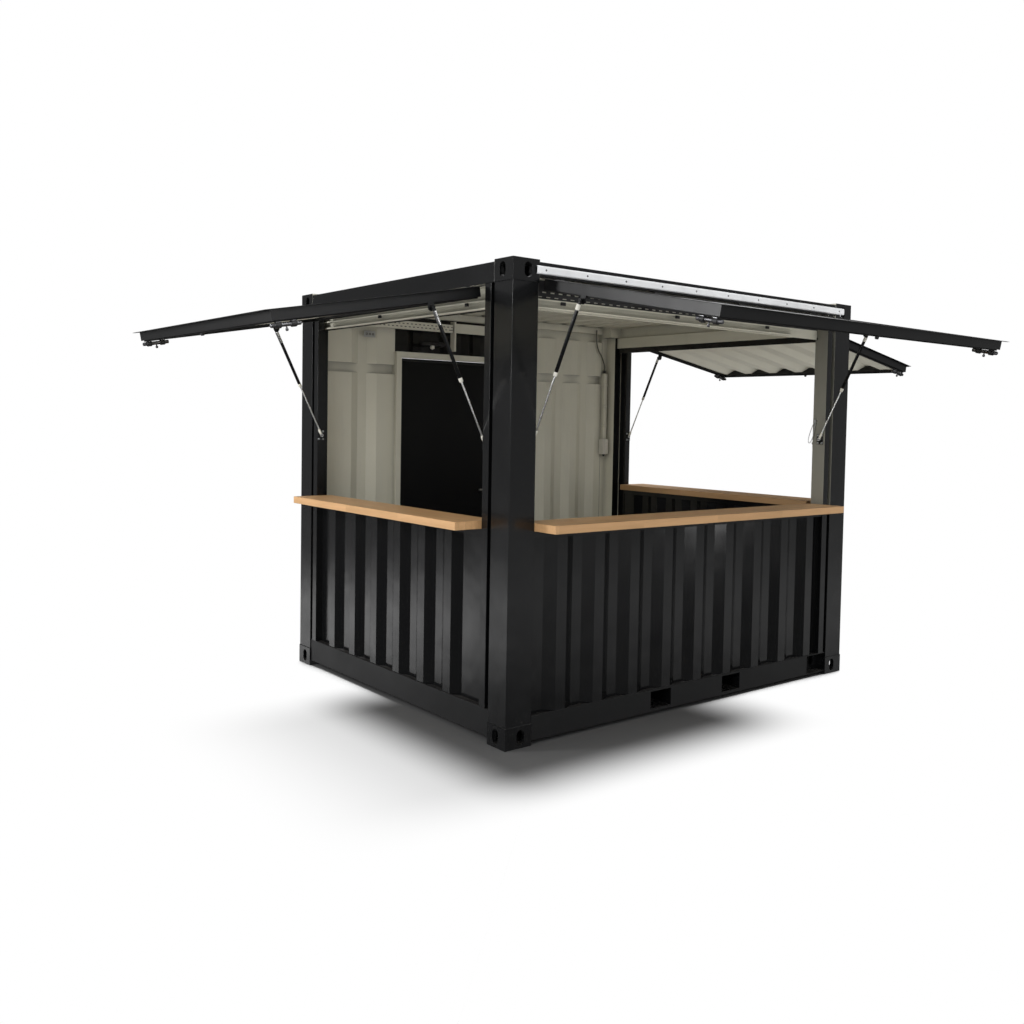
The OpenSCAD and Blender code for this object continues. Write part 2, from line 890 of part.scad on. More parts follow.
// Lever and plate on each side of the leaf
module door_handle() {
    plate_t = 4;
    color(ZINC)
        for (s = [0, 1]) {
            translate([leaf_x + leaf_w - handle_in, leaf_y - leaf_t / 2, deck_top + handle_z])
                mirror([0, s, 0])
                    translate([0, leaf_t / 2, 0]) {
                        translate([-handle_plate_w / 2, 0, -handle_plate_h * 3 / 8])
                            cube([handle_plate_w, plate_t, handle_plate_h]);
                        rotate([-90, 0, 0])
                            cylinder(r = handle_r, h = handle_out);
                        translate([0, handle_out - handle_r, 0])
                            rotate([0, -90, 0])
                                cylinder(r = handle_r, h = handle_l);
                    }
        }
}

// ---- wiring ----

// Inner face of the back post's flange, measured from the casting faces
flange_in = wall_inset + rib_depth + post_wall;

module wiring_trunk() {
    color(CREAM)
        translate([body_l / 2 - trunk_in - trunk_w / 2, body_w / 2 - flange_in - trunk_w, socket_top])
            cube([trunk_w, trunk_w, body_h - trunk_drop - socket_top]);
}

module socket_box() {
    color(CREAM)
        translate([body_l / 2 - trunk_in, body_w / 2 - flange_in - socket_d, socket_top - socket_h])
            translate([-socket_w / 2, 0, 0])
                cube([socket_w, socket_d, socket_h]);
}

// ---- counters ----

module counter(turn) {
    x0 = side_x(turn, -1) + counter_gap;
    x1 = side_x(turn, 1) - counter_gap;
    on_face(turn)
        translate([x0, -counter_out, counter_under])
            cube([x1 - x0, counter_out + counter_in, counter_t]);
}

module counter_front() {
    color(OAK)
        counter(FRONT);
}

module counter_left() {
    color(OAK)
        counter(LEFT);
}

module counter_right() {
    color(OAK)
        counter(RIGHT);
}

module sill_rails() {
    color(BLACK)
        for (turn = [FRONT, LEFT, RIGHT]) {
            on_face(turn)
                translate([side_x(turn, -1), rail_inset, wall_top])
                    tube_x([side_x(turn, 1) - side_x(turn, -1), sill_d, sill_h], rail_wall);
        }
}

// ---- hinges ----

// Middles of a flap's hinges along the face
function knuckle_xs(turn) =
    let (half = flap_half(turn) - knuckle_end, n = max(1, round(2 * half / knuckle_pitch)))
    [for (k = [0:n]) flap_mid(turn) - half + 2 * half * k / n];

// Fixed knuckles with their pins, hung from the rail or header above
module flap_hinges() {
    color(BLACK)
        for (turn = [FRONT, LEFT, RIGHT], x = knuckle_xs(turn)) {
            top = turn == FRONT ? top_rail_z : header_z;
            pin_l = 3 * knuckle_l + 2 * knuckle_gap;
            on_face(turn)
                translate([x, 0, hinge_z(turn)]) {
                    translate([-knuckle_l / 2, 0, 0])
                        rotate([0, 90, 0])
                            cylinder(r = knuckle_r, h = knuckle_l);
                    translate([-pin_l / 2, 0, 0])
                        rotate([0, 90, 0])
                            cylinder(r = hinge_pin_r, h = pin_l);
                    translate([-knuckle_l / 2, 0, 0])
                        cube([knuckle_l, knuckle_r, top - hinge_z(turn)]);
                }
        }
}

// Moving knuckle in the flap's frame, on each side of a fixed one
module flap_knuckle(x) {
    for (s = [-1, 1]) {
        translate([x + s * (knuckle_l + knuckle_gap) - knuckle_l / 2, 0, 0])
            difference() {
                union() {
                    rotate([0, 90, 0])
                        cylinder(r = knuckle_r, h = knuckle_l);
                    translate([0, -hinge_gap - eps, -knuckle_r])
                        cube([knuckle_l, hinge_gap + eps, knuckle_r]);
                }
                translate([-eps, 0, 0])
                    rotate([0, 90, 0])
                        cylinder(r = hinge_pin_r + pin_gap, h = knuckle_l + 2 * eps);
            }
    }
}

// Channel over the front hinges, with chamfered lips
module hinge_cover_strip() {
    l = body_l - strip_left - strip_right;
    in = strip_h - 2 * strip_wall;
    color(ZINC)
        on_face(FRONT)
            translate([-body_l / 2 + strip_left, 0, top_rail_z + strip_rise])
                rotate([90, 0, 90])
                    linear_extrude(l)
                        difference() {
                            polygon([
                                [0, 0], [0, strip_h], [-strip_t / 2, strip_h],
                                [-strip_t, strip_h - strip_t / 2], [-strip_t, strip_t / 2], [-strip_t / 2, 0]
                            ]);
                            translate([-strip_t + strip_wall, strip_t / 2])
                                square([strip_t, in - strip_t + 2 * strip_wall]);
                        }
}

// ---- flaps ----

// Flap frame: x across the flap, y outward is negative, z = 0 on the outer face, hinge axis at the origin
module on_flap(turn) {
    on_face(turn)
        translate([0, 0, hinge_z(turn)])
            rotate([droop(turn), 0, 0])
                children();
}

// Welded tube frame with a drip lip, side flanges over the struts, and its hinge knuckles
module flap_frame(turn) {
    w = 2 * flap_half(turn);
    l = flap_l(turn) - hinge_gap - lip_w;
    on_flap(turn) {
        translate([flap_mid(turn), -hinge_gap - l, -bar_d]) {
            difference() {
                translate([-w / 2, 0, 0])
                    cube([w, l, bar_d]);
                translate([-w / 2 + bar_w, bar_w, -eps])
                    cube([w - 2 * bar_w, l - 2 * bar_w, bar_d + 2 * eps]);
                for (s = [-1, 1]) {
                    translate([s * (w - bar_w) / 2 - bar_w / 2 + bar_wall, bar_wall, bar_wall])
                        cube([bar_w - 2 * bar_wall, l - 2 * bar_wall, bar_d - 2 * bar_wall]);
                }
                for (y = [0, l - bar_w]) {
                    translate([-w / 2 + bar_w + bar_wall, y + bar_wall, bar_wall])
                        cube([w - 2 * bar_w - 2 * bar_wall, bar_w - 2 * bar_wall, bar_d - 2 * bar_wall]);
                }
            }
            translate([-w / 2, -lip_w, bar_d - lip_t])
                cube([w, lip_w + eps, lip_t]);
            for (s = [0, 1]) {
                mirror([s, 0, 0])
                    translate([w / 2 - eps, -lip_w, bar_d - side_lip_t])
                        cube([side_lip_w + eps, l + lip_w, side_lip_t]);
            }
        }
        for (s = [-1, 1]) {
            translate([flap_side(turn, s) - s * lug_t / 2, -strut_u, 0])
                lug();
        }
        for (x = knuckle_xs(turn)) {
            flap_knuckle(x);
        }
    }
}

// Lug that carries a strut's upper pivot, on the inner face of a side bar
module lug() {
    translate([-lug_t / 2, 0, 0]) {
        translate([0, 0, -strut_w])
            rotate([0, 90, 0])
                cylinder(r = lug_r, h = lug_t);
        translate([0, -lug_r, -strut_w])
            cube([lug_t, 2 * lug_r, strut_w - bar_d + eps]);
    }
}

module flap_frame_front() {
    color(BLACK)
        flap_frame(FRONT);
}

module flap_frame_left() {
    color(BLACK)
        flap_frame(LEFT);
}

module flap_frame_right() {
    color(BLACK)
        flap_frame(RIGHT);
}

module flap_panel(turn) {
    l = flap_l(turn) - hinge_gap - lip_w - 2 * bar_w;
    on_flap(turn)
        translate([0, -hinge_gap - bar_w, -lip_t])
            rotate([90, 0, 0])
                linear_extrude(l)
                    mirror([0, 1])
                        wall_section(
                            flap_side(turn, -1) + bar_w,
                            flap_side(turn, 1) - bar_w,
                            rib_phase(turn)
                        );
}

module flap_panel_front() {
    color(CREAM)
        flap_panel(FRONT);
}

module flap_panel_left() {
    color(CREAM)
        flap_panel(LEFT);
}

module flap_panel_right() {
    color(CREAM)
        flap_panel(RIGHT);
}

// Shoot bolt in two brackets under each side bar, at the flap's outer corners
module flap_latches(turn) {
    y0 = -flap_l(turn) + lip_w + latch_end;
    color(ZINC)
        on_flap(turn)
            for (s = [-1, 1]) {
                translate([flap_side(turn, s) - s * latch_in, y0, -bar_d - latch_drop]) {
                    rotate([-90, 0, 0])
                        cylinder(r = latch_r, h = latch_l);
                    for (y = [latch_bracket_end, latch_l - latch_bracket_end - latch_bracket_l]) {
                        translate([-latch_r, y, 0])
                            cube([2 * latch_r, latch_bracket_l, latch_drop]);
                        translate([0, y, 0])
                            rotate([-90, 0, 0])
                                cylinder(r = latch_r + 3, h = latch_bracket_l);
                    }
                }
            }
}

module flap_latches_front() flap_latches(FRONT);
module flap_latches_left() flap_latches(LEFT);
module flap_latches_right() flap_latches(RIGHT);

// ---- gas struts ----

module eye() {
    translate([-eye_t / 2, 0, 0])
        rotate([0, 90, 0])
            difference() {
                cylinder(r = eye_r, h = eye_t);
                translate([0, 0, -eps])
                    cylinder(r = pivot_r + pin_gap, h = eye_t + 2 * eps);
            }
}

// Strut axis along +Z from the lower pivot, with the flap open
module on_strut(turn, s) {
    on_face(turn)
        translate([strut_x(turn, s), foot_y(turn), foot_z(turn)])
            rotate([strut_tilt(turn), 0, 0])
                children();
}

module strut_rod(turn, s) {
    color(ZINC)
        on_strut(turn, s) {
            eye();
            difference() {
                cylinder(r = strut_rod_r, h = strut_rod_l);
                translate([-eye_t, 0, 0])
                    rotate([0, 90, 0])
                        cylinder(r = (eye_r + pivot_r) / 2, h = 2 * eye_t);
            }
        }
}

module strut_tube(turn, s) {
    pin_l = strut_tube_r + strut_side_gap - eye_t / 2 - pin_end_gap;
    gland_l = 20;
    color(BLACK)
        on_strut(turn, s)
            translate([0, 0, strut_len(turn)]) {
                translate([-eye_t / 2, 0, 0])
                    rotate([0, 90, 0])
                        cylinder(r = eye_r, h = eye_t);
                translate([s > 0 ? -eye_t / 2 - pin_l : eye_t / 2 - eps, 0, 0])
                    rotate([0, 90, 0])
                        cylinder(r = pivot_r, h = pin_l + eps);
                translate([0, 0, -strut_tube_l])
                    difference() {
                        cylinder(r = strut_tube_r, h = strut_tube_l - eye_r + 3);
                        translate([0, 0, gland_l])
                            cylinder(r = strut_tube_r - 2, h = strut_tube_l - gland_l - 2 * eye_r);
                        translate([0, 0, -eps])
                            cylinder(r = strut_rod_r + pin_gap, h = gland_l + 2 * eps);
                    }
            }
}

module strut_tube_front_a() strut_tube(FRONT, -1);
module strut_tube_front_b() strut_tube(FRONT, 1);
module strut_tube_left_a() strut_tube(LEFT, -1);
module strut_tube_left_b() strut_tube(LEFT, 1);
module strut_tube_right_a() strut_tube(RIGHT, -1);
module strut_tube_right_b() strut_tube(RIGHT, 1);
module strut_rod_front_a() strut_rod(FRONT, -1);
module strut_rod_front_b() strut_rod(FRONT, 1);
module strut_rod_left_a() strut_rod(LEFT, -1);
module strut_rod_left_b() strut_rod(LEFT, 1);
module strut_rod_right_a() strut_rod(RIGHT, -1);
module strut_rod_right_b() strut_rod(RIGHT, 1);

// Plate on the opening's side with the pin that a strut's rod turns on
module strut_bracket(turn, s) {
    reach = strut_room / 2;
    shoulder = reach - eye_t / 2 - 1;
    on_face(turn)
        translate([side_x(turn, s), foot_y(turn), foot_z(turn)])
            mirror([s > 0 ? 0 : 1, 0, 0]) {
                translate([-bracket_t, -bracket_w / 2, -bracket_h / 2])
                    cube([bracket_t, bracket_w, bracket_h]);
                translate([-reach - eye_t / 2 - 2, 0, 0])
                    rotate([0, 90, 0])
                        cylinder(r = pivot_r, h = reach + eye_t / 2 + 2);
                translate([-shoulder, 0, 0])
                    rotate([0, 90, 0])
                        cylinder(r = pivot_r + 3, h = shoulder);
            }
}

module strut_brackets() {
    color(BLACK)
        for (turn = [FRONT, LEFT, RIGHT], s = [-1, 1]) {
            strut_bracket(turn, s);
        }
}

// ---- nodes ----

corner_castings_bottom();
corner_castings_top();
corner_posts_front();
corner_posts_back();
top_side_rails();
end_headers();
bottom_side_rails();
bottom_end_rails();
floor_cross_members();
fork_pockets();
floor_deck();
roof_panel();
front_wall();
left_wall();
right_wall();
hatch_jambs();
front_lintel();
end_lintels();
service_channel();
end_channels();
back_wall_left();
back_wall_right();
back_wall_over_door();
door_frame();
door_leaf();
door_handle();
door_hinges();
counter_front();
counter_left();
counter_right();
sill_rails();
hinge_cover_strip();
flap_hinges();
strut_brackets();
flap_frame_front();
flap_frame_left();
flap_frame_right();
flap_panel_front();
flap_panel_left();
flap_panel_right();
flap_latches_front();
flap_latches_left();
flap_latches_right();
wiring_trunk();
socket_box();
strut_tube_front_a();
strut_tube_front_b();
strut_tube_left_a();
strut_tube_left_b();
strut_tube_right_a();
strut_tube_right_b();
strut_rod_front_a();
strut_rod_front_b();
strut_rod_left_a();
strut_rod_left_b();
strut_rod_right_a();
strut_rod_right_b();
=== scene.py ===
"""Street kiosk: finishes, fittings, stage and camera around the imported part."""

import json
import math

import bmesh
import bpy
from bpy.props import FloatProperty, FloatVectorProperty, IntProperty, PointerProperty
from mathutils import Matrix, Vector


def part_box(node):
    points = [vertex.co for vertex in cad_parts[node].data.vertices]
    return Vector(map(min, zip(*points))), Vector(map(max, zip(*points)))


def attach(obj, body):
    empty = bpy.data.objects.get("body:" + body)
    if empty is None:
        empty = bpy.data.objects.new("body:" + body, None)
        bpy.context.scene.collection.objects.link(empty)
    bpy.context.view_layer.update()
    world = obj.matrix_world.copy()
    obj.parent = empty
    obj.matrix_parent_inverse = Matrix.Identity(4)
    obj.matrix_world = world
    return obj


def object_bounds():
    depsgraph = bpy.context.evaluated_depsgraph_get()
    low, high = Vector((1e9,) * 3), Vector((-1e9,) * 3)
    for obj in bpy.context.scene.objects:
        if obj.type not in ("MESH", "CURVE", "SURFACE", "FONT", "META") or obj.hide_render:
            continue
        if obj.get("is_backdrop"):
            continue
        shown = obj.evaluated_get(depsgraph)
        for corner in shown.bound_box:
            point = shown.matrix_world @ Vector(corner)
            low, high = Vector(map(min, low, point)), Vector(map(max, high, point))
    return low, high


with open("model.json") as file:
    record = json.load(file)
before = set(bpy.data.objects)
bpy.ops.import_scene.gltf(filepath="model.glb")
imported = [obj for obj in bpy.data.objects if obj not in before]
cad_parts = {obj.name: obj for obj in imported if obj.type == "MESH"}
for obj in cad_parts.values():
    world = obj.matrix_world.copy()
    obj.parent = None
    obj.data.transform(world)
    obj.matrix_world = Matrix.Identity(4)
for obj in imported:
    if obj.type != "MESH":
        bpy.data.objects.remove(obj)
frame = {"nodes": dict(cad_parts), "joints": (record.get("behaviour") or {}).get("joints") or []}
CAD_BOX = [list(corner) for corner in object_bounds()]

bl_info = {
    "name": "Street Kiosk",
    "version": (1, 0, 0),
    "blender": (4, 5, 0),
    "location": "3D View > Sidebar > Kiosk",
    "description": "Finishes and fittings of a street kiosk built as a short container body",
    "category": "Object",
}

SIDES = {"front": 0.0, "left": -90.0, "right": 90.0}
JOINTS = {joint["name"]: joint for joint in frame["joints"]}
STRUTS = [(side, end) for side in SIDES for end in "ab"]


# ---- places on the kiosk ----


def face(side):
    """Face frame: x along the face, y from the casting faces into the room, z up."""
    depth = -CAD_FACES[side]
    return Matrix.Rotation(math.radians(SIDES[side]), 4, "Z") @ Matrix.Translation((0, depth, 0))


# Half length and half width of the body over its corner castings.
BODY_X, BODY_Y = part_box("corner_castings_bottom")[1][:2]
CAD_FACES = {"front": BODY_Y, "left": BODY_X, "right": BODY_X}


def flap(side):
    """Flap frame: x across, y negative outwards, z 0 on the outer face, hinge axis at the origin."""
    hinge = JOINTS["flap_%s_hinge" % side]
    droop = math.radians(90 - hinge["range_deg"][1])
    lift = Matrix.Translation((0, 0, hinge["pos_m"][2]))
    return face(side) @ lift @ Matrix.Rotation(droop, 4, "X")


def local_box(node, place):
    """Lowest and highest corner of a CAD node in a face or flap frame."""
    back = place.inverted()
    points = [back @ vertex.co for vertex in frame["nodes"][node].data.vertices]
    low = Vector([min(point[axis] for point in points) for axis in range(3)])
    high = Vector([max(point[axis] for point in points) for axis in range(3)])
    return low, high


# ---- shader maths ----


class Wire:
    """A node's output that can be used in Python sums, so that 1 - mask works."""

    def __init__(self, finish, socket):
        self.finish = finish
        self.socket = socket

    def maths(self, operation, *values):
        return self.finish.node("Math", {"operation": operation}, dict(enumerate(values)))

    def __add__(self, other):
        return self.maths("ADD", self, other)

    def __radd__(self, other):
        return self.maths("ADD", other, self)

    def __sub__(self, other):
        return self.maths("SUBTRACT", self, other)

    def __rsub__(self, other):
        return self.maths("SUBTRACT", other, self)

    def __mul__(self, other):
        return self.maths("MULTIPLY", self, other)

    def __rmul__(self, other):
        return self.maths("MULTIPLY", other, self)

    def __truediv__(self, other):
        return self.maths("DIVIDE", self, other)

    def __rtruediv__(self, other):
        return self.maths("DIVIDE", other, self)

    def __gt__(self, other):
        return self.maths("GREATER_THAN", self, other)

    def __lt__(self, other):
        return self.maths("LESS_THAN", self, other)

    def limited(self):
        return self.finish.node("Clamp", {}, {0: self})

    def absolute(self):
        return self.maths("ABSOLUTE", self)

    def floor(self):
        return self.maths("FLOOR", self)

    def fraction(self):
        return self.maths("FRACT", self)

    def sine(self):
        return self.maths("SINE", self)


class Finish:
    """One material: its node tree, with the node-making method that all finishes share."""

    def __init__(self, name):
        self.material = bpy.data.materials.new(name)
        self.material.use_nodes = True
        self.tree = self.material.node_tree
        self.tree.nodes.clear()

    def node(self, kind, settings=None, values=None, out=0):
        """Adds a node: its settings first, then the values or links of its sockets."""
        made = self.tree.nodes.new("ShaderNode" + kind)
        for key, value in (settings or {}).items():
            if key == "stops":
                ramp = made.color_ramp
                while len(ramp.elements) < len(value):
                    ramp.elements.new(1.0)
                for element, (position, colour) in zip(ramp.elements, value):
                    element.position = position
                    element.color = colour
            else:
                setattr(made, key, value)
        for key, value in (values or {}).items():
            if isinstance(value, Wire):
                self.tree.links.new(value.socket, made.inputs[key])
            else:
                made.inputs[key].default_value = value
        return Wire(self, made.outputs[out])

    def place(self, scale=(1, 1, 1), turn=(0, 0, 0), move=(0, 0, 0)):
        """Object coordinates, stretched or turned for a pattern."""
        coordinates = self.node("TexCoord", out="Object")
        values = {0: coordinates, "Location": move, "Rotation": turn, "Scale": scale}
        return self.node("Mapping", {}, values)

    def axis(self, name, source="Object"):
        """One component of the object coordinates or the normal in them."""
        return self.node("SeparateXYZ", {}, {0: self.node("TexCoord", out=source)}, out=name)

    def noise(self, scale, detail=3.0, roughness=0.5, place=None, distortion=0.0):
        values = {
            "Vector": place or self.place(),
            "Scale": scale,
            "Detail": detail,
            "Roughness": roughness,
            "Distortion": distortion,
        }
        return self.node("TexNoise", {}, values)

    def blend(self, factor, first, second):
        """Mixes two colours."""
        return self.node("Mix", {"data_type": "RGBA"}, {0: factor, 6: first, 7: second}, out=2)

    def steps(self, value, low, high):
        """A mask that rises from 0 at low to 1 at high."""
        limits = {0: value, "From Min": low, "From Max": high}
        return self.node("MapRange", {"interpolation_type": "SMOOTHSTEP"}, limits)

    def bump(self, height, distance, strength=1.0, normal=None):
        values = {"Height": height, "Distance": distance, "Strength": strength}
        if normal:
            values["Normal"] = normal
        return self.node("Bump", {}, values)

    def surface(self, **values):
        """The shader and the output; names with spaces are written with underscores."""
        shader = self.node("BsdfPrincipled", {}, {k.replace("_", " "): v for k, v in values.items()})
        self.node_output(shader)
        return self.material

    def node_output(self, shader):
        made = self.tree.nodes.new("ShaderNodeOutputMaterial")
        self.tree.links.new(shader.socket, made.inputs["Surface"])


def shade(colour, share):
    """A colour made darker or lighter, with its alpha."""
    return tuple(channel * share for channel in colour[:3]) + (1.0,)


# ---- sizes and colours that a user would change ----


def colour_setting(label, note, default):
    return FloatVectorProperty(
        name=label, description=note, default=default, subtype="COLOR", min=0.0, max=1.0, size=3
    )


def length_setting(label, note, default):
    return FloatProperty(name=label, description=note, default=default, unit="LENGTH", min=0.0)


class KioskColours(bpy.types.PropertyGroup):
    """Colours of the kiosk's finishes."""

    black: colour_setting("Black paint", "Paint of the frame and outside", (0.004, 0.0042, 0.0046))
    cream: colour_setting("Cream paint", "Paint of the room's walls", (0.76, 0.74, 0.62))
    oak: colour_setting("Oak", "Oiled boards of the counters", (0.65, 0.37, 0.16))
    plywood: colour_setting("Plywood", "Coated boards of the floor", (0.13, 0.085, 0.055))
    zinc: colour_setting("Zinc", "Galvanised fittings", (0.62, 0.63, 0.64))
    chrome: colour_setting("Rod steel", "Polished rods of the gas struts", (0.93, 0.93, 0.92))
    rubber: colour_setting("Rubber", "Seals and grommets", (0.014, 0.014, 0.014))
    plastic: colour_setting("Pale plastic", "Collars, clips and covers", (0.72, 0.70, 0.62))


class KioskSizes(bpy.types.PropertyGroup):
    """Sizes of the kiosk's fittings."""

    edge: length_setting("Edge rounding", "Rounding of the painted steel's edges", 0.0016)
    weld: length_setting("Weld radius", "Radius of the weld beads", 0.0028)
    screw_pitch: length_setting("Screw spacing", "Distance between the cover strip's screws", 0.29)
    seal: length_setting("Seal width", "Width of the rubber seals", 0.012)
    stave: length_setting("Stave width", "Width of the oak staves in a counter", 0.042)
    slots: IntProperty(
        name="Strip slots", description="Slots along the front strip", default=88, min=1
    )


# ---- finishes ----

FINISHES = {}
BLACK_GLOSS = 0.5
DOOR_GLOSS = 0.22
FLAP_GLOSS = 0.4
BLACK_DUST = (0.075, 0.07, 0.062, 1.0)
CREAM_DUST = (0.25, 0.23, 0.19, 1.0)
PLASTIC_DUST = (0.2, 0.19, 0.17, 1.0)
PLYWOOD_SCRATCH = (0.3, 0.25, 0.2, 1.0)
PLYWOOD_EDGE = (0.34, 0.24, 0.15, 1.0)
STRIP_GREY = (0.80, 0.81, 0.82)
LATCH_GREY = (0.22, 0.22, 0.23)
TRIM_BLACK = (0.02, 0.02, 0.021)
CABLE_GREY = (0.16, 0.155, 0.13)

# Heights and depths at which the two paints meet.
COUNTER_TOP = 1.19
END_LINTEL_EDGE = 2.383
SKIN_DEPTH = 0.02
POST_FRONT_DEPTH = 0.045
POST_ROOM_DEPTH = 0.17
HATCH_DEPTH = 0.15
HATCH_REVEAL = 0.1
# Share of painted shade on the cream of the jamb faces beside the hatch.
HATCH_PAINTED_SHADE = 0.68
CASTING_ROOM_DEPTH = (0.165, 0.15)

# How the oak's staves lie.
STAVE_PIECE = 0.62
COUNTER_BAND = 0.15
COUNTER_END = 0.17
GRAIN_ALONG = 2.2
GRAIN_ACROSS = 42.0
MESH_PRESS = 250.0


def colour(name):
    return tuple(getattr(bpy.context.scene.kiosk_colours, name))


def paint_bump(finish, coarse=0.0006):
    """Orange peel of sprayed paint over slightly wavy steel."""
    wavy = finish.bump(finish.noise(3.1, 2.0), coarse * 6)
    return finish.bump(finish.noise(230.0, 2.0), coarse * 0.12, 0.6, wavy)


def dust(finish, amount=1.0):
    """Mask of the dust that settles on upward faces, and of splashes near the ground."""
    upward = finish.steps(finish.axis("Z", "Normal"), 0.45, 0.95)
    patches = finish.steps(finish.noise(5.0, 5.0, 0.65), 0.42, 0.72)
    low = 1 - finish.steps(finish.axis("Z"), 0.02, 0.4)
    splashes = low * finish.steps(finish.noise(38.0, 4.0, 0.7), 0.55, 0.75)
    return ((upward * (0.25 + patches * 0.5) + splashes * 0.3) * amount).limited()


def black_colour(finish, base):
    """Black paint with faint patches, fine scuffs and dust."""
    patches = finish.noise(1.7, 4.0, 0.6)
    painted = finish.blend(patches, shade(base, 0.8), shade(base, 1.3))
    scuffs = finish.noise(26.0, 6.0, 0.72, finish.place((1, 1, 0.12)))
    painted = finish.blend(finish.steps(scuffs, 0.66, 0.8) * 0.35, painted, shade(base, 4.0))
    return finish.blend(dust(finish) * 0.55, painted, BLACK_DUST)


def black_roughness(finish, base=0.16):
    return base + finish.noise(4.2, 5.0, 0.6) * 0.12 + dust(finish) * 0.25


def make_black(name="black_enamel", base_roughness=0.14, gloss=BLACK_GLOSS):
    finish = Finish(name)
    return finish.surface(
        Base_Color=black_colour(finish, colour("black")),
        Roughness=black_roughness(finish, base_roughness),
        Normal=paint_bump(finish),
        Specular_IOR_Level=gloss,
    )


def cream_colour(finish, base):
    """Cream paint with soft patches, grime in fine streaks, and painted shade in hollows."""
    patches = finish.noise(2.3, 4.0, 0.6)
    painted = finish.blend(patches, shade(base, 0.93), shade(base, 1.05))
    streaks = finish.noise(9.0, 5.0, 0.7, finish.place((1, 1, 0.09)))
    painted = finish.blend(finish.steps(streaks, 0.55, 0.8) * 0.22, painted, shade(base, 0.62))
    # Painted shade: the cream darkens where ambient occlusion finds little open space, in hollows and
    # creases.
    open_share = finish.node("AmbientOcclusion", {"samples": 6}, {"Distance": 0.07}, out="AO")
    hollow = 1 - finish.steps(open_share, 0.45, 0.95)
    painted = finish.blend(hollow * 0.5, painted, shade(base, 0.35))
    return finish.blend(dust(finish, 0.6) * 0.4, painted, CREAM_DUST)


def cream_roughness(finish):
    return 0.40 + finish.noise(5.0, 4.0) * 0.14


def make_cream():
    finish = Finish("cream_enamel")
    return finish.surface(
        Base_Color=cream_colour(finish, colour("cream")),
        Roughness=cream_roughness(finish),
        Normal=paint_bump(finish),
    )


def make_two_tone(name, axis):
    """Black paint outside and cream paint inside, told apart by the way a face looks."""
    finish = Finish(name)
    return painted_both(finish, finish.steps(finish.axis(axis, "Normal"), -0.15, -0.05))


def painted_both(finish, outside, lit=None):
    """Black where the outside mask is 1, cream where it is 0; a lit mask under 1 darkens the cream
    with painted shade.
    """
    inside = cream_colour(finish, colour("cream"))
    # Painted shade: the cream is blended towards black where the lit mask is under 1.
    if lit is not None:
        inside = finish.blend(lit, (0, 0, 0, 1), inside)
    painted = finish.blend(outside, inside, black_colour(finish, colour("black")))
    return finish.surface(
        Base_Color=painted,
        Roughness=(1 - outside) * cream_roughness(finish) + outside * black_roughness(finish),
        Normal=paint_bump(finish),
        Specular_IOR_Level=BLACK_GLOSS,
    )


def depths(finish):
    """For X and Y: how deep a point lies under the outer face, and whether its face looks inward."""
    found = []
    for axis, half in (("X", BODY_X), ("Y", BODY_Y)):
        place = finish.axis(axis)
        found += [half - place.absolute(), place * finish.axis(axis, "Normal") < -0.02]
    return found


def make_posts():
    """Corner posts and jambs: black outside, cream in the room, and cream darkened by painted shade
    beside the hatch.
    """
    finish = Finish("post_enamel")
    deep_x, into_x, deep_y, into_y = depths(finish)
    beside = (deep_x > HATCH_DEPTH) * (finish.axis("Z") > COUNTER_TOP) * (finish.axis("Y") < 0)
    room = (deep_y > POST_FRONT_DEPTH) * (deep_y < POST_ROOM_DEPTH) * (deep_x < HATCH_DEPTH)
    shown = into_x * (deep_x > SKIN_DEPTH) * (beside + room)
    reveal = (deep_y > SKIN_DEPTH) * (deep_y < HATCH_REVEAL) * (deep_x > POST_FRONT_DEPTH)
    shown = shown + into_y * reveal
    # The lit mask puts painted shade on the cream faces that look into the hatch.
    return painted_both(finish, 1 - shown.limited(), 1 - beside * into_x * HATCH_PAINTED_SHADE)


def make_headers():
    """End headers: black outside, cream where they look into the room."""
    finish = Finish("header_enamel")
    deep_x, into_x, deep_y = depths(finish)[:3]
    return painted_both(finish, 1 - into_x * (deep_x > SKIN_DEPTH) * (deep_y > POST_FRONT_DEPTH))


def make_castings():
    """Corner castings: black, cream on the sides that look into the room."""
    finish = Finish("casting_enamel")
    deep_x, into_x, deep_y, into_y = depths(finish)
    far_x, far_y = CASTING_ROOM_DEPTH
    shown = into_x * (deep_x > far_x) + into_y * (deep_y > far_y)
    return painted_both(finish, 1 - shown.limited())


def make_top_rails():
    """Top side rails: black, with cream where the back one looks into the room."""
    finish = Finish("top_rail_enamel")
    place = finish.axis("Y")
    into = place * finish.axis("Y", "Normal") < 0.3
    up = finish.axis("Z", "Normal") > 0.5
    return painted_both(finish, 1 - into * (1 - up) * (place > 0.0))


def make_end_lintels():
    """End lintels: cream, with a black lower edge."""
    finish = Finish("end_lintel_enamel")
    return painted_both(finish, finish.axis("Z") < END_LINTEL_EDGE)


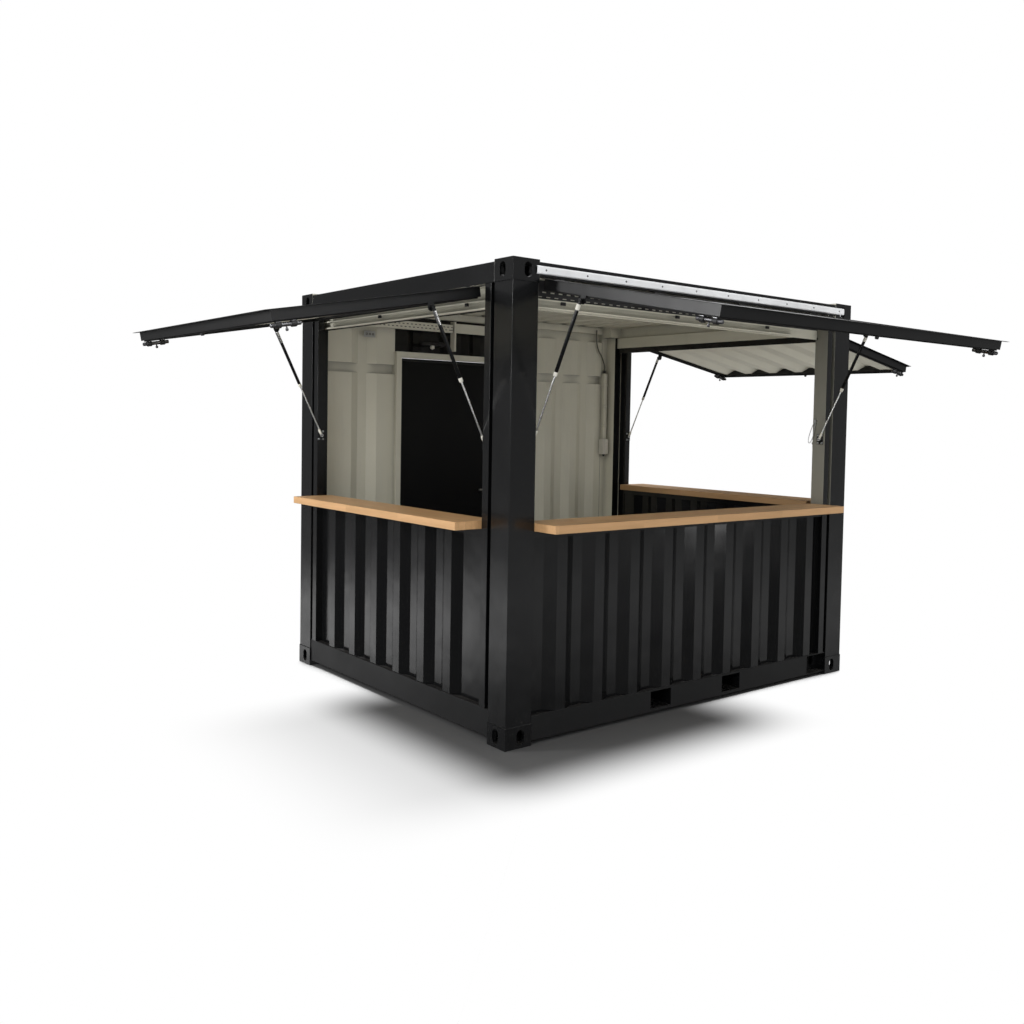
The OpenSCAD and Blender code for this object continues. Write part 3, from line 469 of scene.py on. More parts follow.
def make_oak():
    """Oiled oak: glued staves along the board, with grain, pores and darker growth rings."""
    finish = Finish("oiled_oak")
    base = colour("oak")
    width = bpy.context.scene.kiosk_sizes.stave
    x, y, z = (finish.axis(name) for name in "XYZ")
    along_x = (y.absolute() > BODY_Y - COUNTER_BAND) * (x.absolute() < BODY_X - COUNTER_END)
    across = along_x * y + (1 - along_x) * x
    along = along_x * x + (1 - along_x) * y
    stave = (across / width).floor()
    random_1d = {"noise_dimensions": "1D"}
    shift = finish.node("TexWhiteNoise", random_1d, {"W": stave})
    piece = ((along + shift * 7.3) / STAVE_PIECE).floor()
    tone = finish.node("TexWhiteNoise", random_1d, {"W": piece + stave * 17.0})
    combined = finish.node(
        "CombineXYZ",
        {},
        {
            0: along * GRAIN_ALONG + tone * 31.0,
            1: across * GRAIN_ACROSS,
            2: z * GRAIN_ACROSS + tone * 5.0,
        },
    )
    grain = finish.noise(1.0, 6.0, 0.62, combined, 0.35)
    pores = finish.noise(9.0, 3.0, 0.6, combined)
    light_wood = (base[0] * 1.25, base[1] * 1.32, base[2] * 1.5, 1.0)
    wood = finish.blend(grain, shade(base, 0.72), light_wood)
    wood = finish.blend(tone * 0.38, wood, shade(base, 0.7))
    pits = finish.steps(pores, 0.6, 0.78)
    wood = finish.blend(pits * 0.35, wood, shade(base, 0.35))
    edge = (across / width).fraction()
    joint = finish.steps(edge, 0.0, 0.03) * (1 - finish.steps(edge, 0.97, 1.0))
    wood = finish.blend((1 - joint) * 0.45, wood, shade(base, 0.3))
    height = grain * 0.5 + joint * 0.6 - pits * 0.3
    return finish.surface(
        Base_Color=wood,
        Roughness=0.36 + grain * 0.16,
        Normal=finish.bump(height, 0.0009, 0.5),
        Coat_Weight=0.15,
        Coat_Roughness=0.3,
    )


def make_plywood():
    """Resin-coated plywood with its pressed mesh pattern, scratches and dust."""
    finish = Finish("coated_plywood")
    base = colour("plywood")
    x, y = finish.axis("X") * MESH_PRESS, finish.axis("Y") * MESH_PRESS
    mesh = (x + y).sine() * (x - y).sine()
    worn = finish.noise(3.0, 6.0, 0.7)
    scuffs = finish.noise(30.0, 4.0, 0.7, finish.place((0.15, 1, 1), (0, 0, 0.4)))
    tone = finish.blend(worn, shade(base, 0.6), shade(base, 1.5))
    tone = finish.blend(finish.steps(scuffs, 0.66, 0.74) * 0.5, tone, PLYWOOD_SCRATCH)
    layers = finish.noise(1.0, 2.0, 0.5, finish.place((0.4, 0.4, 230)))
    sideways = 1 - finish.axis("Z", "Normal").absolute()
    tone = finish.blend(sideways * layers, tone, PLYWOOD_EDGE)
    return finish.surface(
        Base_Color=tone, Roughness=0.42 + worn * 0.25, Normal=finish.bump(mesh, 0.0005, 0.4)
    )


def make_metal(name, base, roughness, spangle=0.0):
    """Bare metal: spangled zinc, or polished steel with fine lines along it."""
    finish = Finish(name)
    if spangle:
        values = {"Vector": finish.place(), "Scale": spangle}
        cells = finish.node("TexVoronoi", {"feature": "F1"}, values, out="Color")
        tone = finish.node("SeparateXYZ", {}, {0: cells})
    else:
        tone = finish.noise(20.0, 2.0, 0.5, finish.place((1, 1, 0.05)))
    marks = finish.noise(11.0, 5.0, 0.7)
    metal = finish.blend(tone, shade(base, 0.88), shade(base, 1.1))
    metal = finish.blend(finish.steps(marks, 0.6, 0.8) * 0.25, metal, shade(base, 0.6))
    return finish.surface(
        Base_Color=metal,
        Metallic=1.0,
        Roughness=roughness + tone * 0.1 + marks * 0.12,
        Normal=finish.bump(finish.noise(140.0, 2.0), 0.00008, 0.4),
    )


def make_moulded(name, base, roughness, grain=420.0):
    """Rubber or plastic: fine grain, faint patches and a little dust."""
    finish = Finish(name)
    tone = finish.blend(finish.noise(7.0, 4.0, 0.6), shade(base, 0.82), shade(base, 1.15))
    tone = finish.blend(dust(finish, 0.7) * 0.4, tone, PLASTIC_DUST)
    return finish.surface(
        Base_Color=tone,
        Roughness=roughness + finish.noise(19.0, 4.0) * 0.15,
        Normal=finish.bump(finish.noise(grain, 2.0), 0.00012, 0.6),
    )


def make_finishes():
    """Makes every finish once, under the name by which pieces ask for it."""
    FINISHES.update(
        black=make_black(),
        rail=make_black("rail_enamel", 0.3),
        cream=make_cream(),
        back_sheet=make_two_tone("back_sheet_enamel", "Y"),
        roof_sheet=make_two_tone("roof_sheet_enamel", "Z"),
        post=make_posts(),
        casting=make_castings(),
        header=make_headers(),
        flap_black=make_black("flap_enamel", 0.32, FLAP_GLOSS),
        top_rail=make_top_rails(),
        end_lintel=make_end_lintels(),
        oak=make_oak(),
        plywood=make_plywood(),
        zinc=make_metal("spangled_zinc", colour("zinc"), 0.34, 95.0),
        strip_grey=make_moulded("strip_enamel", STRIP_GREY, 0.3, 200.0),
        latch_steel=make_metal("latch_steel", LATCH_GREY, 0.3),
        bolt_steel=make_metal("bolt_steel", colour("zinc"), 0.2),
        chrome=make_metal("polished_rod", colour("chrome"), 0.16),
        strut_black=make_black("strut_enamel", 0.2),
        door_black=make_black("door_enamel", 0.35, DOOR_GLOSS),
        rubber=make_moulded("black_rubber", colour("rubber"), 0.55),
        plastic=make_moulded("pale_plastic", colour("plastic"), 0.35),
        trim=make_moulded("black_plastic", TRIM_BLACK, 0.4),
        cable=make_moulded("cable_sheath", CABLE_GREY, 0.45),
    )


# Nodes that aren't plain black, by finish.
FINISH_NODES = {
    "casting": ("corner_castings_top",),
    "post": ("corner_posts_front", "corner_posts_back", "hatch_jambs"),
    "header": ("end_headers",),
    "top_rail": ("top_side_rails",),
    "rail": ("bottom_side_rails", "bottom_end_rails"),
    "roof_sheet": ("roof_panel",),
    "back_sheet": ("back_wall_left", "back_wall_right"),
    "cream": ("front_lintel", "service_channel", "end_channels", "wiring_trunk", "door_frame"),
    "end_lintel": ("end_lintels",),
    "plastic": ("socket_box",),
    "bolt_steel": ("door_handle",),
    "zinc": ("door_hinges",),
    "strip_grey": ("hinge_cover_strip",),
    "plywood": ("floor_deck",),
    "door_black": ("door_leaf",),
}
NODE_FINISH = {node: finish for finish, nodes in FINISH_NODES.items() for node in nodes}
for _side in SIDES:
    NODE_FINISH["counter_" + _side] = "oak"
    NODE_FINISH["flap_panel_" + _side] = "roof_sheet"
    NODE_FINISH["flap_latches_" + _side] = "latch_steel"
    NODE_FINISH["flap_frame_" + _side] = "flap_black"
for _side, _end in STRUTS:
    NODE_FINISH["strut_rod_%s_%s" % (_side, _end)] = "chrome"
    NODE_FINISH["strut_tube_%s_%s" % (_side, _end)] = "strut_black"


# ---- making pieces ----

SAME_POINT = 0.00001
SMOOTH_ANGLE = 32
SHEET_EDGE = 0.0004
CASTING_EDGE = 0.006
COUNTER_EDGE = 0.003
PLATE_EDGE = 0.0006


def circle(centre, first, second, radius, sides):
    """Points round a centre, in the plane of two directions."""
    points = []
    for i in range(sides):
        angle = 2 * math.pi * i / sides
        points.append(centre + (first * math.cos(angle) + second * math.sin(angle)) * radius)
    return points


class Shape:
    """Collects closed solids in one mesh, in the frame of a place, and makes a piece of them."""

    def __init__(self, place=None):
        self.mesh = bmesh.new()
        self.place = place or Matrix()

    def loft(self, rings, closed_ends=True):
        """Joins rings of as many points each, or of one point at a pole."""
        rows = [[self.mesh.verts.new(self.place @ Vector(point)) for point in ring] for ring in rings]
        count = max(len(row) for row in rows)
        for lower, upper in zip(rows, rows[1:]):
            for i in range(count):
                j = (i + 1) % count
                corners = [lower[i % len(lower)], lower[j % len(lower)]]
                corners += [upper[j % len(upper)], upper[i % len(upper)]]
                unique = []
                for corner in corners:
                    if corner not in unique:
                        unique.append(corner)
                if len(unique) > 2:
                    self.mesh.faces.new(unique)
        if closed_ends:
            for row in (rows[0], rows[-1]):
                if len(row) > 2:
                    self.mesh.faces.new(row)

    def closed_loft(self, rings):
        """Joins rings of points and the last to the first, as round a seal or a sleeve."""
        self.loft(rings + rings[:1], closed_ends=False)
        bmesh.ops.remove_doubles(self.mesh, verts=self.mesh.verts, dist=SAME_POINT)

    def box(self, low, high):
        (x0, y0, z0), (x1, y1, z1) = low, high
        ring = [(x0, y0), (x1, y0), (x1, y1), (x0, y1)]
        self.loft([[(x, y, z) for x, y in ring] for z in (z0, z1)])

    def turned(self, start, along, profile, sides=24, hollow=False):
        """A turned solid from distances along the axis and radii; a hollow one's ends are joined."""
        axis = Vector(along).normalized()
        first = axis.orthogonal().normalized()
        second = axis.cross(first)
        rings = []
        for distance, radius in profile:
            centre = Vector(start) + axis * distance
            rings.append(circle(centre, first, second, radius, sides) if radius > 0 else [centre])
        if hollow:
            self.closed_loft(rings)
        else:
            self.loft(rings)

    def swept(self, points, radius, sides=12):
        """A round bar or tube along a path."""
        points = [Vector(point) for point in points]
        rings = []
        first = None
        for i, point in enumerate(points):
            ahead = (points[min(i + 1, len(points) - 1)] - points[max(i - 1, 0)]).normalized()
            if first is None:
                first = ahead.orthogonal().normalized()
            first = (first - ahead * first.dot(ahead)).normalized()
            rings.append(circle(point, first, ahead.cross(first), radius, sides))
        self.loft(rings)

    def piece(self, name, body, finish, slot_name, edge=0.0, segments=2):
        """Ends the mesh and makes the object, which rides on a body."""
        bmesh.ops.recalc_face_normals(self.mesh, faces=self.mesh.faces)
        data = bpy.data.meshes.new(name)
        self.mesh.to_mesh(data)
        self.mesh.free()
        return dress(data, name, body, finish, slot_name, edge, segments)


def dress(data, name, body, finish, slot_name, edge=0.0, segments=2):
    """Makes the object of a finished mesh, with its finish, edges and body; slot_name is not used."""
    made = bpy.data.objects.new(name, data)
    bpy.context.collection.objects.link(made)
    data.materials.clear()
    data.materials.append(FINISHES[finish])
    data.shade_smooth()
    data.set_sharp_from_angle(angle=math.radians(SMOOTH_ANGLE))
    if edge:
        add_bevel(made, edge, segments)
    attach(made, body)
    return made


def add_bevel(thing, width, segments=2):
    """Rounds a piece's sharp edges."""
    rounding = thing.modifiers.new("edges", "BEVEL")
    rounding.width = width
    rounding.segments = segments
    rounding.limit_method = "ANGLE"
    rounding.angle_limit = math.radians(SMOOTH_ANGLE)
    rounding.harden_normals = True


# ---- Geometry Nodes ----


class Recipe:
    """One Geometry Nodes tree with named inputs."""

    def __init__(self, name, inputs):
        self.tree = bpy.data.node_groups.new(name, "GeometryNodeTree")
        self.tree.interface.new_socket("Geometry", in_out="INPUT", socket_type="NodeSocketGeometry")
        self.keys = {}
        for label, (kind, default) in inputs.items():
            kind = "NodeSocket" + kind
            socket = self.tree.interface.new_socket(label, in_out="INPUT", socket_type=kind)
            if default is not None:
                socket.default_value = default
            self.keys[label] = socket.identifier
        self.tree.interface.new_socket("Geometry", in_out="OUTPUT", socket_type="NodeSocketGeometry")
        self.source = self.tree.nodes.new("NodeGroupInput")
        self.sink = self.tree.nodes.new("NodeGroupOutput")

    def input(self, label):
        return self.source.outputs[label]

    def node(self, kind, settings=None, values=None, out=0):
        """Adds a node and gives one of its outputs; a list links several to one socket."""
        made = self.tree.nodes.new(kind)
        for key, value in (settings or {}).items():
            setattr(made, key, value)
        for key, value in (values or {}).items():
            for each in value if isinstance(value, list) else [value]:
                if isinstance(each, bpy.types.NodeSocket):
                    self.tree.links.new(each, made.inputs[key])
                else:
                    made.inputs[key].default_value = each
        return made.outputs[out]

    def times(self, first, second):
        """The product of two numbers or sockets."""
        return self.node("ShaderNodeMath", {"operation": "MULTIPLY"}, {0: first, 1: second})

    def cone(self, sides, low_radius, top_share, height):
        """A low cone whose top is a share as wide as its foot."""
        values = {
            "Vertices": sides,
            "Radius Top": self.times(low_radius, top_share),
            "Radius Bottom": low_radius,
            "Depth": height,
        }
        return self.node("GeometryNodeMeshCone", {}, values)

    def end_on_points(self, instance, **values):
        """Puts an instance on each of the carrier's points and ends the tree."""
        values.update(Points=self.input("Geometry"), Instance=instance)
        self.end(self.node("GeometryNodeInstanceOnPoints", {}, values))

    def end(self, geometry):
        """Makes the result real, gives it its finish and ends the tree."""
        real = self.node("GeometryNodeRealizeInstances", {}, {"Geometry": geometry})
        values = {"Geometry": real, "Material": self.input("Finish")}
        done = self.node("GeometryNodeSetMaterial", {}, values)
        self.tree.links.new(done, self.sink.inputs[0])

    def make(self, data, name, body, finish, slot_name, **values):
        """Runs the tree on a mesh of points or paths and keeps the result as a plain mesh."""
        carrier = bpy.data.objects.new(name + "_points", data)
        bpy.context.collection.objects.link(carrier)
        pattern = carrier.modifiers.new("pattern", "NODES")
        pattern.node_group = self.tree
        values["Finish"] = FINISHES[finish]
        for label, value in values.items():
            pattern[self.keys[label]] = value
        seen = carrier.evaluated_get(bpy.context.evaluated_depsgraph_get())
        made = bpy.data.meshes.new_from_object(seen)
        bpy.data.objects.remove(carrier)
        return dress(made, name, body, finish, slot_name)


WASHER_SIDES = 14
BEAD_SIDES = 6
BEAD_SEED = 4
BEAD_SWELL = (0.75, 1.25)
WEB_LAP = 0.0004


def fastener_recipe():
    """Dome or hexagon heads with washers, one at each point, along the direction stored there."""
    recipe = Recipe(
        "fasteners",
        {
            "Head radius": ("Float", 0.0065),
            "Head height": ("Float", 0.004),
            "Washer radius": ("Float", 0.009),
            "Head sides": ("Int", 6),
            "Finish": ("Material", None),
        },
    )
    height = recipe.input("Head height")
    head = recipe.cone(recipe.input("Head sides"), recipe.input("Head radius"), 0.8, height)
    washer_height = recipe.times(height, 0.3)
    washer = recipe.cone(WASHER_SIDES, recipe.input("Washer radius"), 0.92, washer_height)
    up = recipe.node("ShaderNodeCombineXYZ", {}, {2: recipe.times(height, 0.5)})
    raised = recipe.node("GeometryNodeTransform", {}, {"Geometry": head, "Translation": up})
    both = recipe.node("GeometryNodeJoinGeometry", {}, {0: [raised, washer]})
    kind = {"data_type": "FLOAT_VECTOR"}
    stored = recipe.node("GeometryNodeInputNamedAttribute", kind, {"Name": "facing"}, "Attribute")
    turn = recipe.node("FunctionNodeAlignRotationToVector", {"axis": "Z"}, {"Vector": stored})
    recipe.end_on_points(both, Rotation=turn)
    return recipe


def weld_recipe():
    """A weld bead along each path, with a seeded ripple."""
    recipe = Recipe(
        "weld_beads",
        {
            "Radius": ("Float", 0.0028),
            "Spacing": ("Float", 0.012),
            "Finish": ("Material", None),
        },
    )
    curve = recipe.node("GeometryNodeMeshToCurve", {}, {"Mesh": recipe.input("Geometry")})
    values = {"Curve": curve, "Length": recipe.input("Spacing")}
    even = recipe.node("GeometryNodeResampleCurve", {"mode": "LENGTH"}, values)
    values = {2: BEAD_SWELL[0], 3: BEAD_SWELL[1], "Seed": BEAD_SEED}
    ripple = recipe.node("FunctionNodeRandomValue", {"data_type": "FLOAT"}, values, 1)
    swell = recipe.times(ripple, recipe.input("Radius"))
    values = {"Resolution": BEAD_SIDES, "Radius": 1.0}
    profile = recipe.node("GeometryNodeCurvePrimitiveCircle", {}, values)
    thick = recipe.node("GeometryNodeSetCurveRadius", {}, {"Curve": even, "Radius": swell})
    values = {"Curve": thick, "Profile Curve": profile, "Scale": swell, "Fill Caps": True}
    recipe.end(recipe.node("GeometryNodeCurveToMesh", {}, values))
    return recipe


def web_recipe():
    """Webs between the slots of a strip or tray, one at each point."""
    sizes = {"Web size": ("Vector", (0.01, 0.02, 0.002)), "Finish": ("Material", None)}
    recipe = Recipe("tray_webs", sizes)
    web = recipe.node("GeometryNodeMeshCube", {}, {"Size": recipe.input("Web size")})
    recipe.end_on_points(web)
    return recipe


def point_mesh(name, points):
    """A mesh of loose points, each with the direction that it faces."""
    data = bpy.data.meshes.new(name)
    data.from_pydata([point for point, facing in points], [], [])
    stored = data.attributes.new("facing", "FLOAT_VECTOR", "POINT")
    for item, (point, facing) in zip(stored.data, points):
        item.vector = facing
    return data


def path_mesh(name, paths):
    """A mesh of open or closed paths."""
    data = bpy.data.meshes.new(name)
    points, lines = [], []
    for path in paths:
        first = len(points)
        points += path
        lines += [(first + i, first + i + 1) for i in range(len(path) - 1)]
    data.from_pydata(points, lines, [])
    return data


def facing_points(place, points, facing):
    """Points of a face or flap frame and the direction they face, in the kiosk's own frame."""
    turned = (place.to_3x3() @ Vector(facing)).normalized()
    return [(place @ Vector(point), turned) for point in points]


# ---- operators ----


class KIOSK_OT_finishes(bpy.types.Operator):
    """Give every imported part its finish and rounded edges"""

    bl_idname = "kiosk.finishes"
    bl_label = "Finishes"

    def execute(self, context):
        make_finishes()
        edge = context.scene.kiosk_sizes.edge
        for name, thing in frame["nodes"].items():
            finish = FINISHES[NODE_FINISH.get(name, "black")]
            for slot in thing.material_slots:
                slot.material = finish
            merge = thing.modifiers.new("merge", "WELD")
            merge.merge_threshold = 2 * SAME_POINT
            flat = thing.modifiers.new("flat_faces", "DECIMATE")
            flat.decimate_type = "DISSOLVE"
            flat.angle_limit = math.radians(1.0)
            width = edge
            if name.endswith("wall") or "wall_" in name or "panel" in name:
                width = SHEET_EDGE
            if name.startswith("corner_castings"):
                width = CASTING_EDGE
            if name.startswith("counter"):
                width = COUNTER_EDGE
            add_bevel(thing, width, 3 if width > 0.002 else 2)
        return {"FINISHED"}


RECIPES = {}


def recipe(name):
    """One shared Geometry Nodes tree of each kind."""
    makers = {"fasteners": fastener_recipe, "welds": weld_recipe, "webs": web_recipe}
    if name not in RECIPES:
        RECIPES[name] = makers[name]()
    return RECIPES[name]


def fasten(name, points, finish, head, washer, sides=6):
    """Sets a fastener at each point: its head's radius and height, its washer's radius."""
    values = {"Head radius": head[0], "Head height": head[1]}
    values.update({"Washer radius": washer, "Head sides": sides})
    data = point_mesh(name + "_points", points)
    recipe("fasteners").make(data, name, "body", finish, "zinc", **values)


def set_webs(name, finish, slot_name, places, size):
    """Sets the webs between the slots of one row."""
    data = point_mesh(name + "_points", [(place, (0, 0, 1)) for place in places])
    recipe("webs").make(data, name, "body", finish, slot_name, **{"Web size": size})


def row_bands(rows, low, high):
    """The plain bands below, between and above two rows of slots."""
    return [(low, rows[0][0]), (rows[0][1], rows[1][0]), (rows[1][1], high)]


def spaced(low, high, pitch):
    """Even places from low to high, about a pitch apart."""
    count = max(1, round((high - low) / pitch))
    return [low + (high - low) * i / count for i in range(count + 1)]


class KIOSK_OT_welds(bpy.types.Operator):
    """Lay weld beads where posts, castings and rails meet"""

    bl_idname = "kiosk.welds"
    bl_label = "Welds"

    def execute(self, context):
        inset, lift = 0.003, 0.001
        recess = 0.0125
        front_reach, back_reach, side_reach = 0.172, 0.120, 0.158
        seam_left, seam_right, end_seam = -1.31, 1.2, 0.96
        paths = []
        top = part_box("corner_castings_top")[0].z - lift
        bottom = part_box("corner_castings_bottom")[1].z + lift
        rail_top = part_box("bottom_side_rails")[1].z + lift
        end_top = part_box("bottom_end_rails")[1].z + lift
        for sx in (-1, 1):
            for sy in (-1, 1):
                x, y = sx * (BODY_X - inset), sy * (BODY_Y - inset)
                reach = front_reach if sy < 0 else back_reach
                for z in (bottom, top):
                    paths.append([(x - sx * reach, y, z), (x, y, z), (x, y - sy * side_reach, z)])
        for sy in (-1, 1):
            y = sy * (BODY_Y - recess)
            paths.append([(seam_left, y, rail_top), (seam_right, y, rail_top)])
        for sx in (-1, 1):
            x = sx * (BODY_X - recess)
            paths.append([(x, -end_seam, end_top), (x, end_seam, end_top)])
        data = path_mesh("weld_lines", paths)
        radius = context.scene.kiosk_sizes.weld
        recipe("welds").make(data, "weld_beads", "body", "black", "black_paint", Radius=radius)
        return {"FINISHED"}


class KIOSK_OT_fasteners(bpy.types.Operator):
    """Set the cover strip's and the floor's screws and the strut brackets' bolts"""

    bl_idname = "kiosk.fasteners"
    bl_label = "Fasteners"

    def execute(self, context):
        self.strip_screws(context.scene.kiosk_sizes.screw_pitch)
        self.bracket_bolts()
        self.floor_screws()
        return {"FINISHED"}

    def strip_screws(self, pitch):
        low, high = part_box("hinge_cover_strip")
        middle, margin = (low.z + high.z) / 2, 0.06
        places = [(x, low.y, middle) for x in spaced(low.x + margin, high.x - margin, pitch)]
        points = facing_points(Matrix(), places, (0, -1, 0))
        fasten("strip_screws", points, "trim", (0.0042, 0.002), 0.0055, 10)

    def bracket_bolts(self):
        half_width, half_height, plate_depth = 0.015, 0.026, 0.011
        points = []
        for side, end in STRUTS:
            sign = -1 if end == "a" else 1
            place = face(side)
            foot = place.inverted() @ Vector(JOINTS["strut_%s_%s_pivot" % (side, end)]["pos_m"])
            plate = foot.x + sign * plate_depth
            places = []
            for dy in (-half_width, half_width):
                places += [(plate, foot.y + dy, foot.z + dz) for dz in (-half_height, half_height)]
            points += facing_points(place, places, (-sign, 0, 0))
        fasten("bracket_bolts", points, "bolt_steel", (0.0058, 0.0045), 0.0075)

    def floor_screws(self):
        low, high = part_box("floor_deck")
        margin_x, margin_y, pitch_x, pitch_y = 0.05, 0.12, 0.36, 0.3
        places = []
        for x in spaced(low.x + margin_x, high.x - margin_x, pitch_x):
            rows = spaced(low.y + margin_y, high.y - margin_y, pitch_y)
            places += [(x, y, high.z) for y in rows]
        points = facing_points(Matrix(), places, (0, 0, 1))
        fasten("floor_screws", points, "zinc", (0.0055, 0.0008), 0.0065, 12)


# Turned profiles: distance along the axis, and radius.
BOLT_COLLAR = [
    (0, 0.0118), (0, 0.0150), (0.002, 0.0165), (0.026, 0.0165), (0.028, 0.0150), (0.028, 0.0118)
]
BOLT_GRIP = [
    (0, 0.0035), (0.016, 0.0035), (0.018, 0.006), (0.022, 0.0075), (0.028, 0.0075),
    (0.032, 0.005), (0.0325, 0),
]
BOLT_TIP = [(0, 0.0105), (0.004, 0.0095), (0.0055, 0.006), (0.0055, 0)]
FLAP_STOP = [
    (-0.001, 0.014), (0.003, 0.014), (0.005, 0.011), (0.018, 0.010), (0.021, 0.0075), (0.0215, 0)
]
STRUT_COLLAR = [(0, 0.0052), (0, 0.0095), (0.003, 0.0112), (0.019, 0.0112), (0.024, 0.0102)]
STRUT_HEAD = [(0, 0.0101), (0.0005, 0.0112), (0.030, 0.0112), (0.034, 0.0085), (0.043, 0.0075)]
STRUT_SLEEVE = [(0, 0.0101), (0.0005, 0.0110), (0.044, 0.0110), (0.0445, 0.0101)]
STRUT_FOOT = [(0, 0.0075), (0.004, 0.0085), (0.030, 0.0085), (0.036, 0.0065), (0.040, 0.0052)]
LOCK = [
    (-0.001, 0.0125), (0.0035, 0.0125), (0.005, 0.011), (0.005, 0.006), (0.0042, 0.0055),
    (0.0042, 0),
]
LEVER_ROLLER = [(-0.014, 0.020), (0.014, 0.020), (0.017, 0.017), (0.017, 0)]
CATCH_PIN = [(-0.001, 0.006), (0.004, 0.006), (0.006, 0.004), (0.006, 0)]
VENT_GROMMET = [
    (-0.001, 0.008), (0.0012, 0.008), (0.0012, 0.005), (-0.0005, 0.0045), (-0.0005, 0)
]
BOX_GLAND = [
    (-0.002, 0.012), (0.006, 0.012), (0.007, 0.010), (0.016, 0.0095), (0.020, 0.0075),
    (0.0205, 0.004), (0.0205, 0),
]
TRUNK_GLAND = [
    (-0.002, 0.014), (0.006, 0.014), (0.008, 0.011), (0.020, 0.010), (0.026, 0.0072),
    (0.026, 0.0058), (-0.002, 0.0058),
]
JAMB_PLUG = [
    (-0.002, 0.009), (0.002, 0.009), (0.004, 0.0075), (0.004, 0.004), (0.003, 0.0035), (0.003, 0)
]


# How deep the bars of a flap's frame are.
FLAP_BAR = 0.055
# Where a strut's fittings start: the foot above its pivot, the collar just over the tube's lower
# end, and the head and the sleeve back from the neck at the tube's upper end.
FOOT_START = 0.0085
COLLAR_LAP = 0.001
TUBE_NECK = 0.011
HEAD_BACK = 0.052
SLEEVE_BACK = 0.098


def seal_rings(corners, inset, width, thick, count):
    """Rings of a bulb seal: corners gives a frame's corners for an inset and a height."""
    rings = []
    for i in range(count):
        angle = 2 * math.pi * i / count
        rings.append(
            corners(inset + width / 2 + math.cos(angle) * width / 2, math.sin(angle) * thick)
        )
    return rings


class KIOSK_OT_flaps(bpy.types.Operator):
    """Fit each flap's seal, bolt collars, knobs and gas strut fittings"""

    bl_idname = "kiosk.flaps"
    bl_label = "Flaps and struts"

    def execute(self, context):
        for side in SIDES:
            self.seal(side, context.scene.kiosk_sizes.seal)
            self.bolts(side)
        for side, end in STRUTS:
            self.strut(side, end)
        return {"FINISHED"}

    def seal(self, side, width):
        """A bulb seal round the flap frame's inner face."""
        place = flap(side)
        low, high = local_box("flap_frame_" + side, place)
        lip, side_lip, hinge_gap, gap = 0.035, 0.021, 0.012, 0.0035
        x0, x1 = low.x + side_lip, high.x - side_lip
        y0, y1 = low.y + lip, -hinge_gap

        def corners(inset, height):
            z = -FLAP_BAR - gap + height
            return [(x0 + inset, y0 + inset, z), (x1 - inset, y0 + inset, z),
                    (x1 - inset, y1 - inset, z), (x0 + inset, y1 - inset, z)]

        shape = Shape(place)
        shape.closed_loft(seal_rings(corners, 0.012, width, 0.0045, 10))
        shape.piece("flap_seal_" + side, "flap_" + side, "rubber", "black_paint")

    def bolts(self, side):
        """Black collars and a turned knob on each shoot bolt, and a stop under the outer bar."""
        place = flap(side)
        low, high = local_box("flap_latches_" + side, place)
        radius, grip, collar_starts = 0.014, 0.075, (0.019, 0.099)
        collars, knobs = Shape(place), Shape(place)
        for x in (low.x + radius, high.x - radius):
            axis = Vector((x, low.y, low.z + radius))
            for start in collar_starts:
                collars.turned(axis + Vector((0, start, 0)), (0, 1, 0), BOLT_COLLAR)
            knobs.turned(axis + Vector((0, grip, 0)), (0, 0, -1), BOLT_GRIP, 16)
            knobs.turned(axis, (0, -1, 0), BOLT_TIP, 20)
        stop = ((low.x + high.x) / 2, low.y + 0.02, -FLAP_BAR)
        collars.turned(stop, (0, 0, -1), FLAP_STOP)
        collars.piece("bolt_collars_" + side, "flap_" + side, "trim", "black_paint")
        knobs.piece("bolt_knobs_" + side, "flap_" + side, "latch_steel", "zinc")

    def strut(self, side, end):
        """Ball-joint ends, collar and sleeve of one gas strut."""
        name = "%s_%s" % (side, end)
        tube, rod = "strut_tube_" + name, "strut_rod_" + name
        foot = Vector(JOINTS["strut_%s_pivot" % name]["pos_m"])
        up = -Vector(JOINTS["strut_%s_slide" % name]["axis"]).normalized()
        reach = [(vertex.co - foot).dot(up) for vertex in frame["nodes"][tube].data.vertices]
        start, stop = min(reach), max(reach) - TUBE_NECK

        def fitting(kind, at, profile, body, finish, slot_name, hollow=False):
            shape = Shape()
            shape.turned(foot + up * at, up, profile, hollow=hollow)
            shape.piece("strut_%s_%s" % (kind, name), body, finish, slot_name)

        bright = side == "left"
        head_finish = "chrome" if bright else "plastic"
        fitting("collar", start - COLLAR_LAP, STRUT_COLLAR, tube, "plastic", "cream_paint")
        fitting("head", stop - HEAD_BACK, STRUT_HEAD, tube, head_finish, "rod_steel")
        if bright:
            fitting("sleeve", stop - SLEEVE_BACK, STRUT_SLEEVE, tube, "chrome", "rod_steel", True)
        fitting("foot", FOOT_START, STRUT_FOOT, rod, "plastic", "cream_paint")


WALL_INSIDE = 1.150
FRONT_CLIPS = (-1.098, -0.195, 0.658)
END_CLIPS = {"left": (-0.246, 0.715), "right": (-0.523, -0.257)}


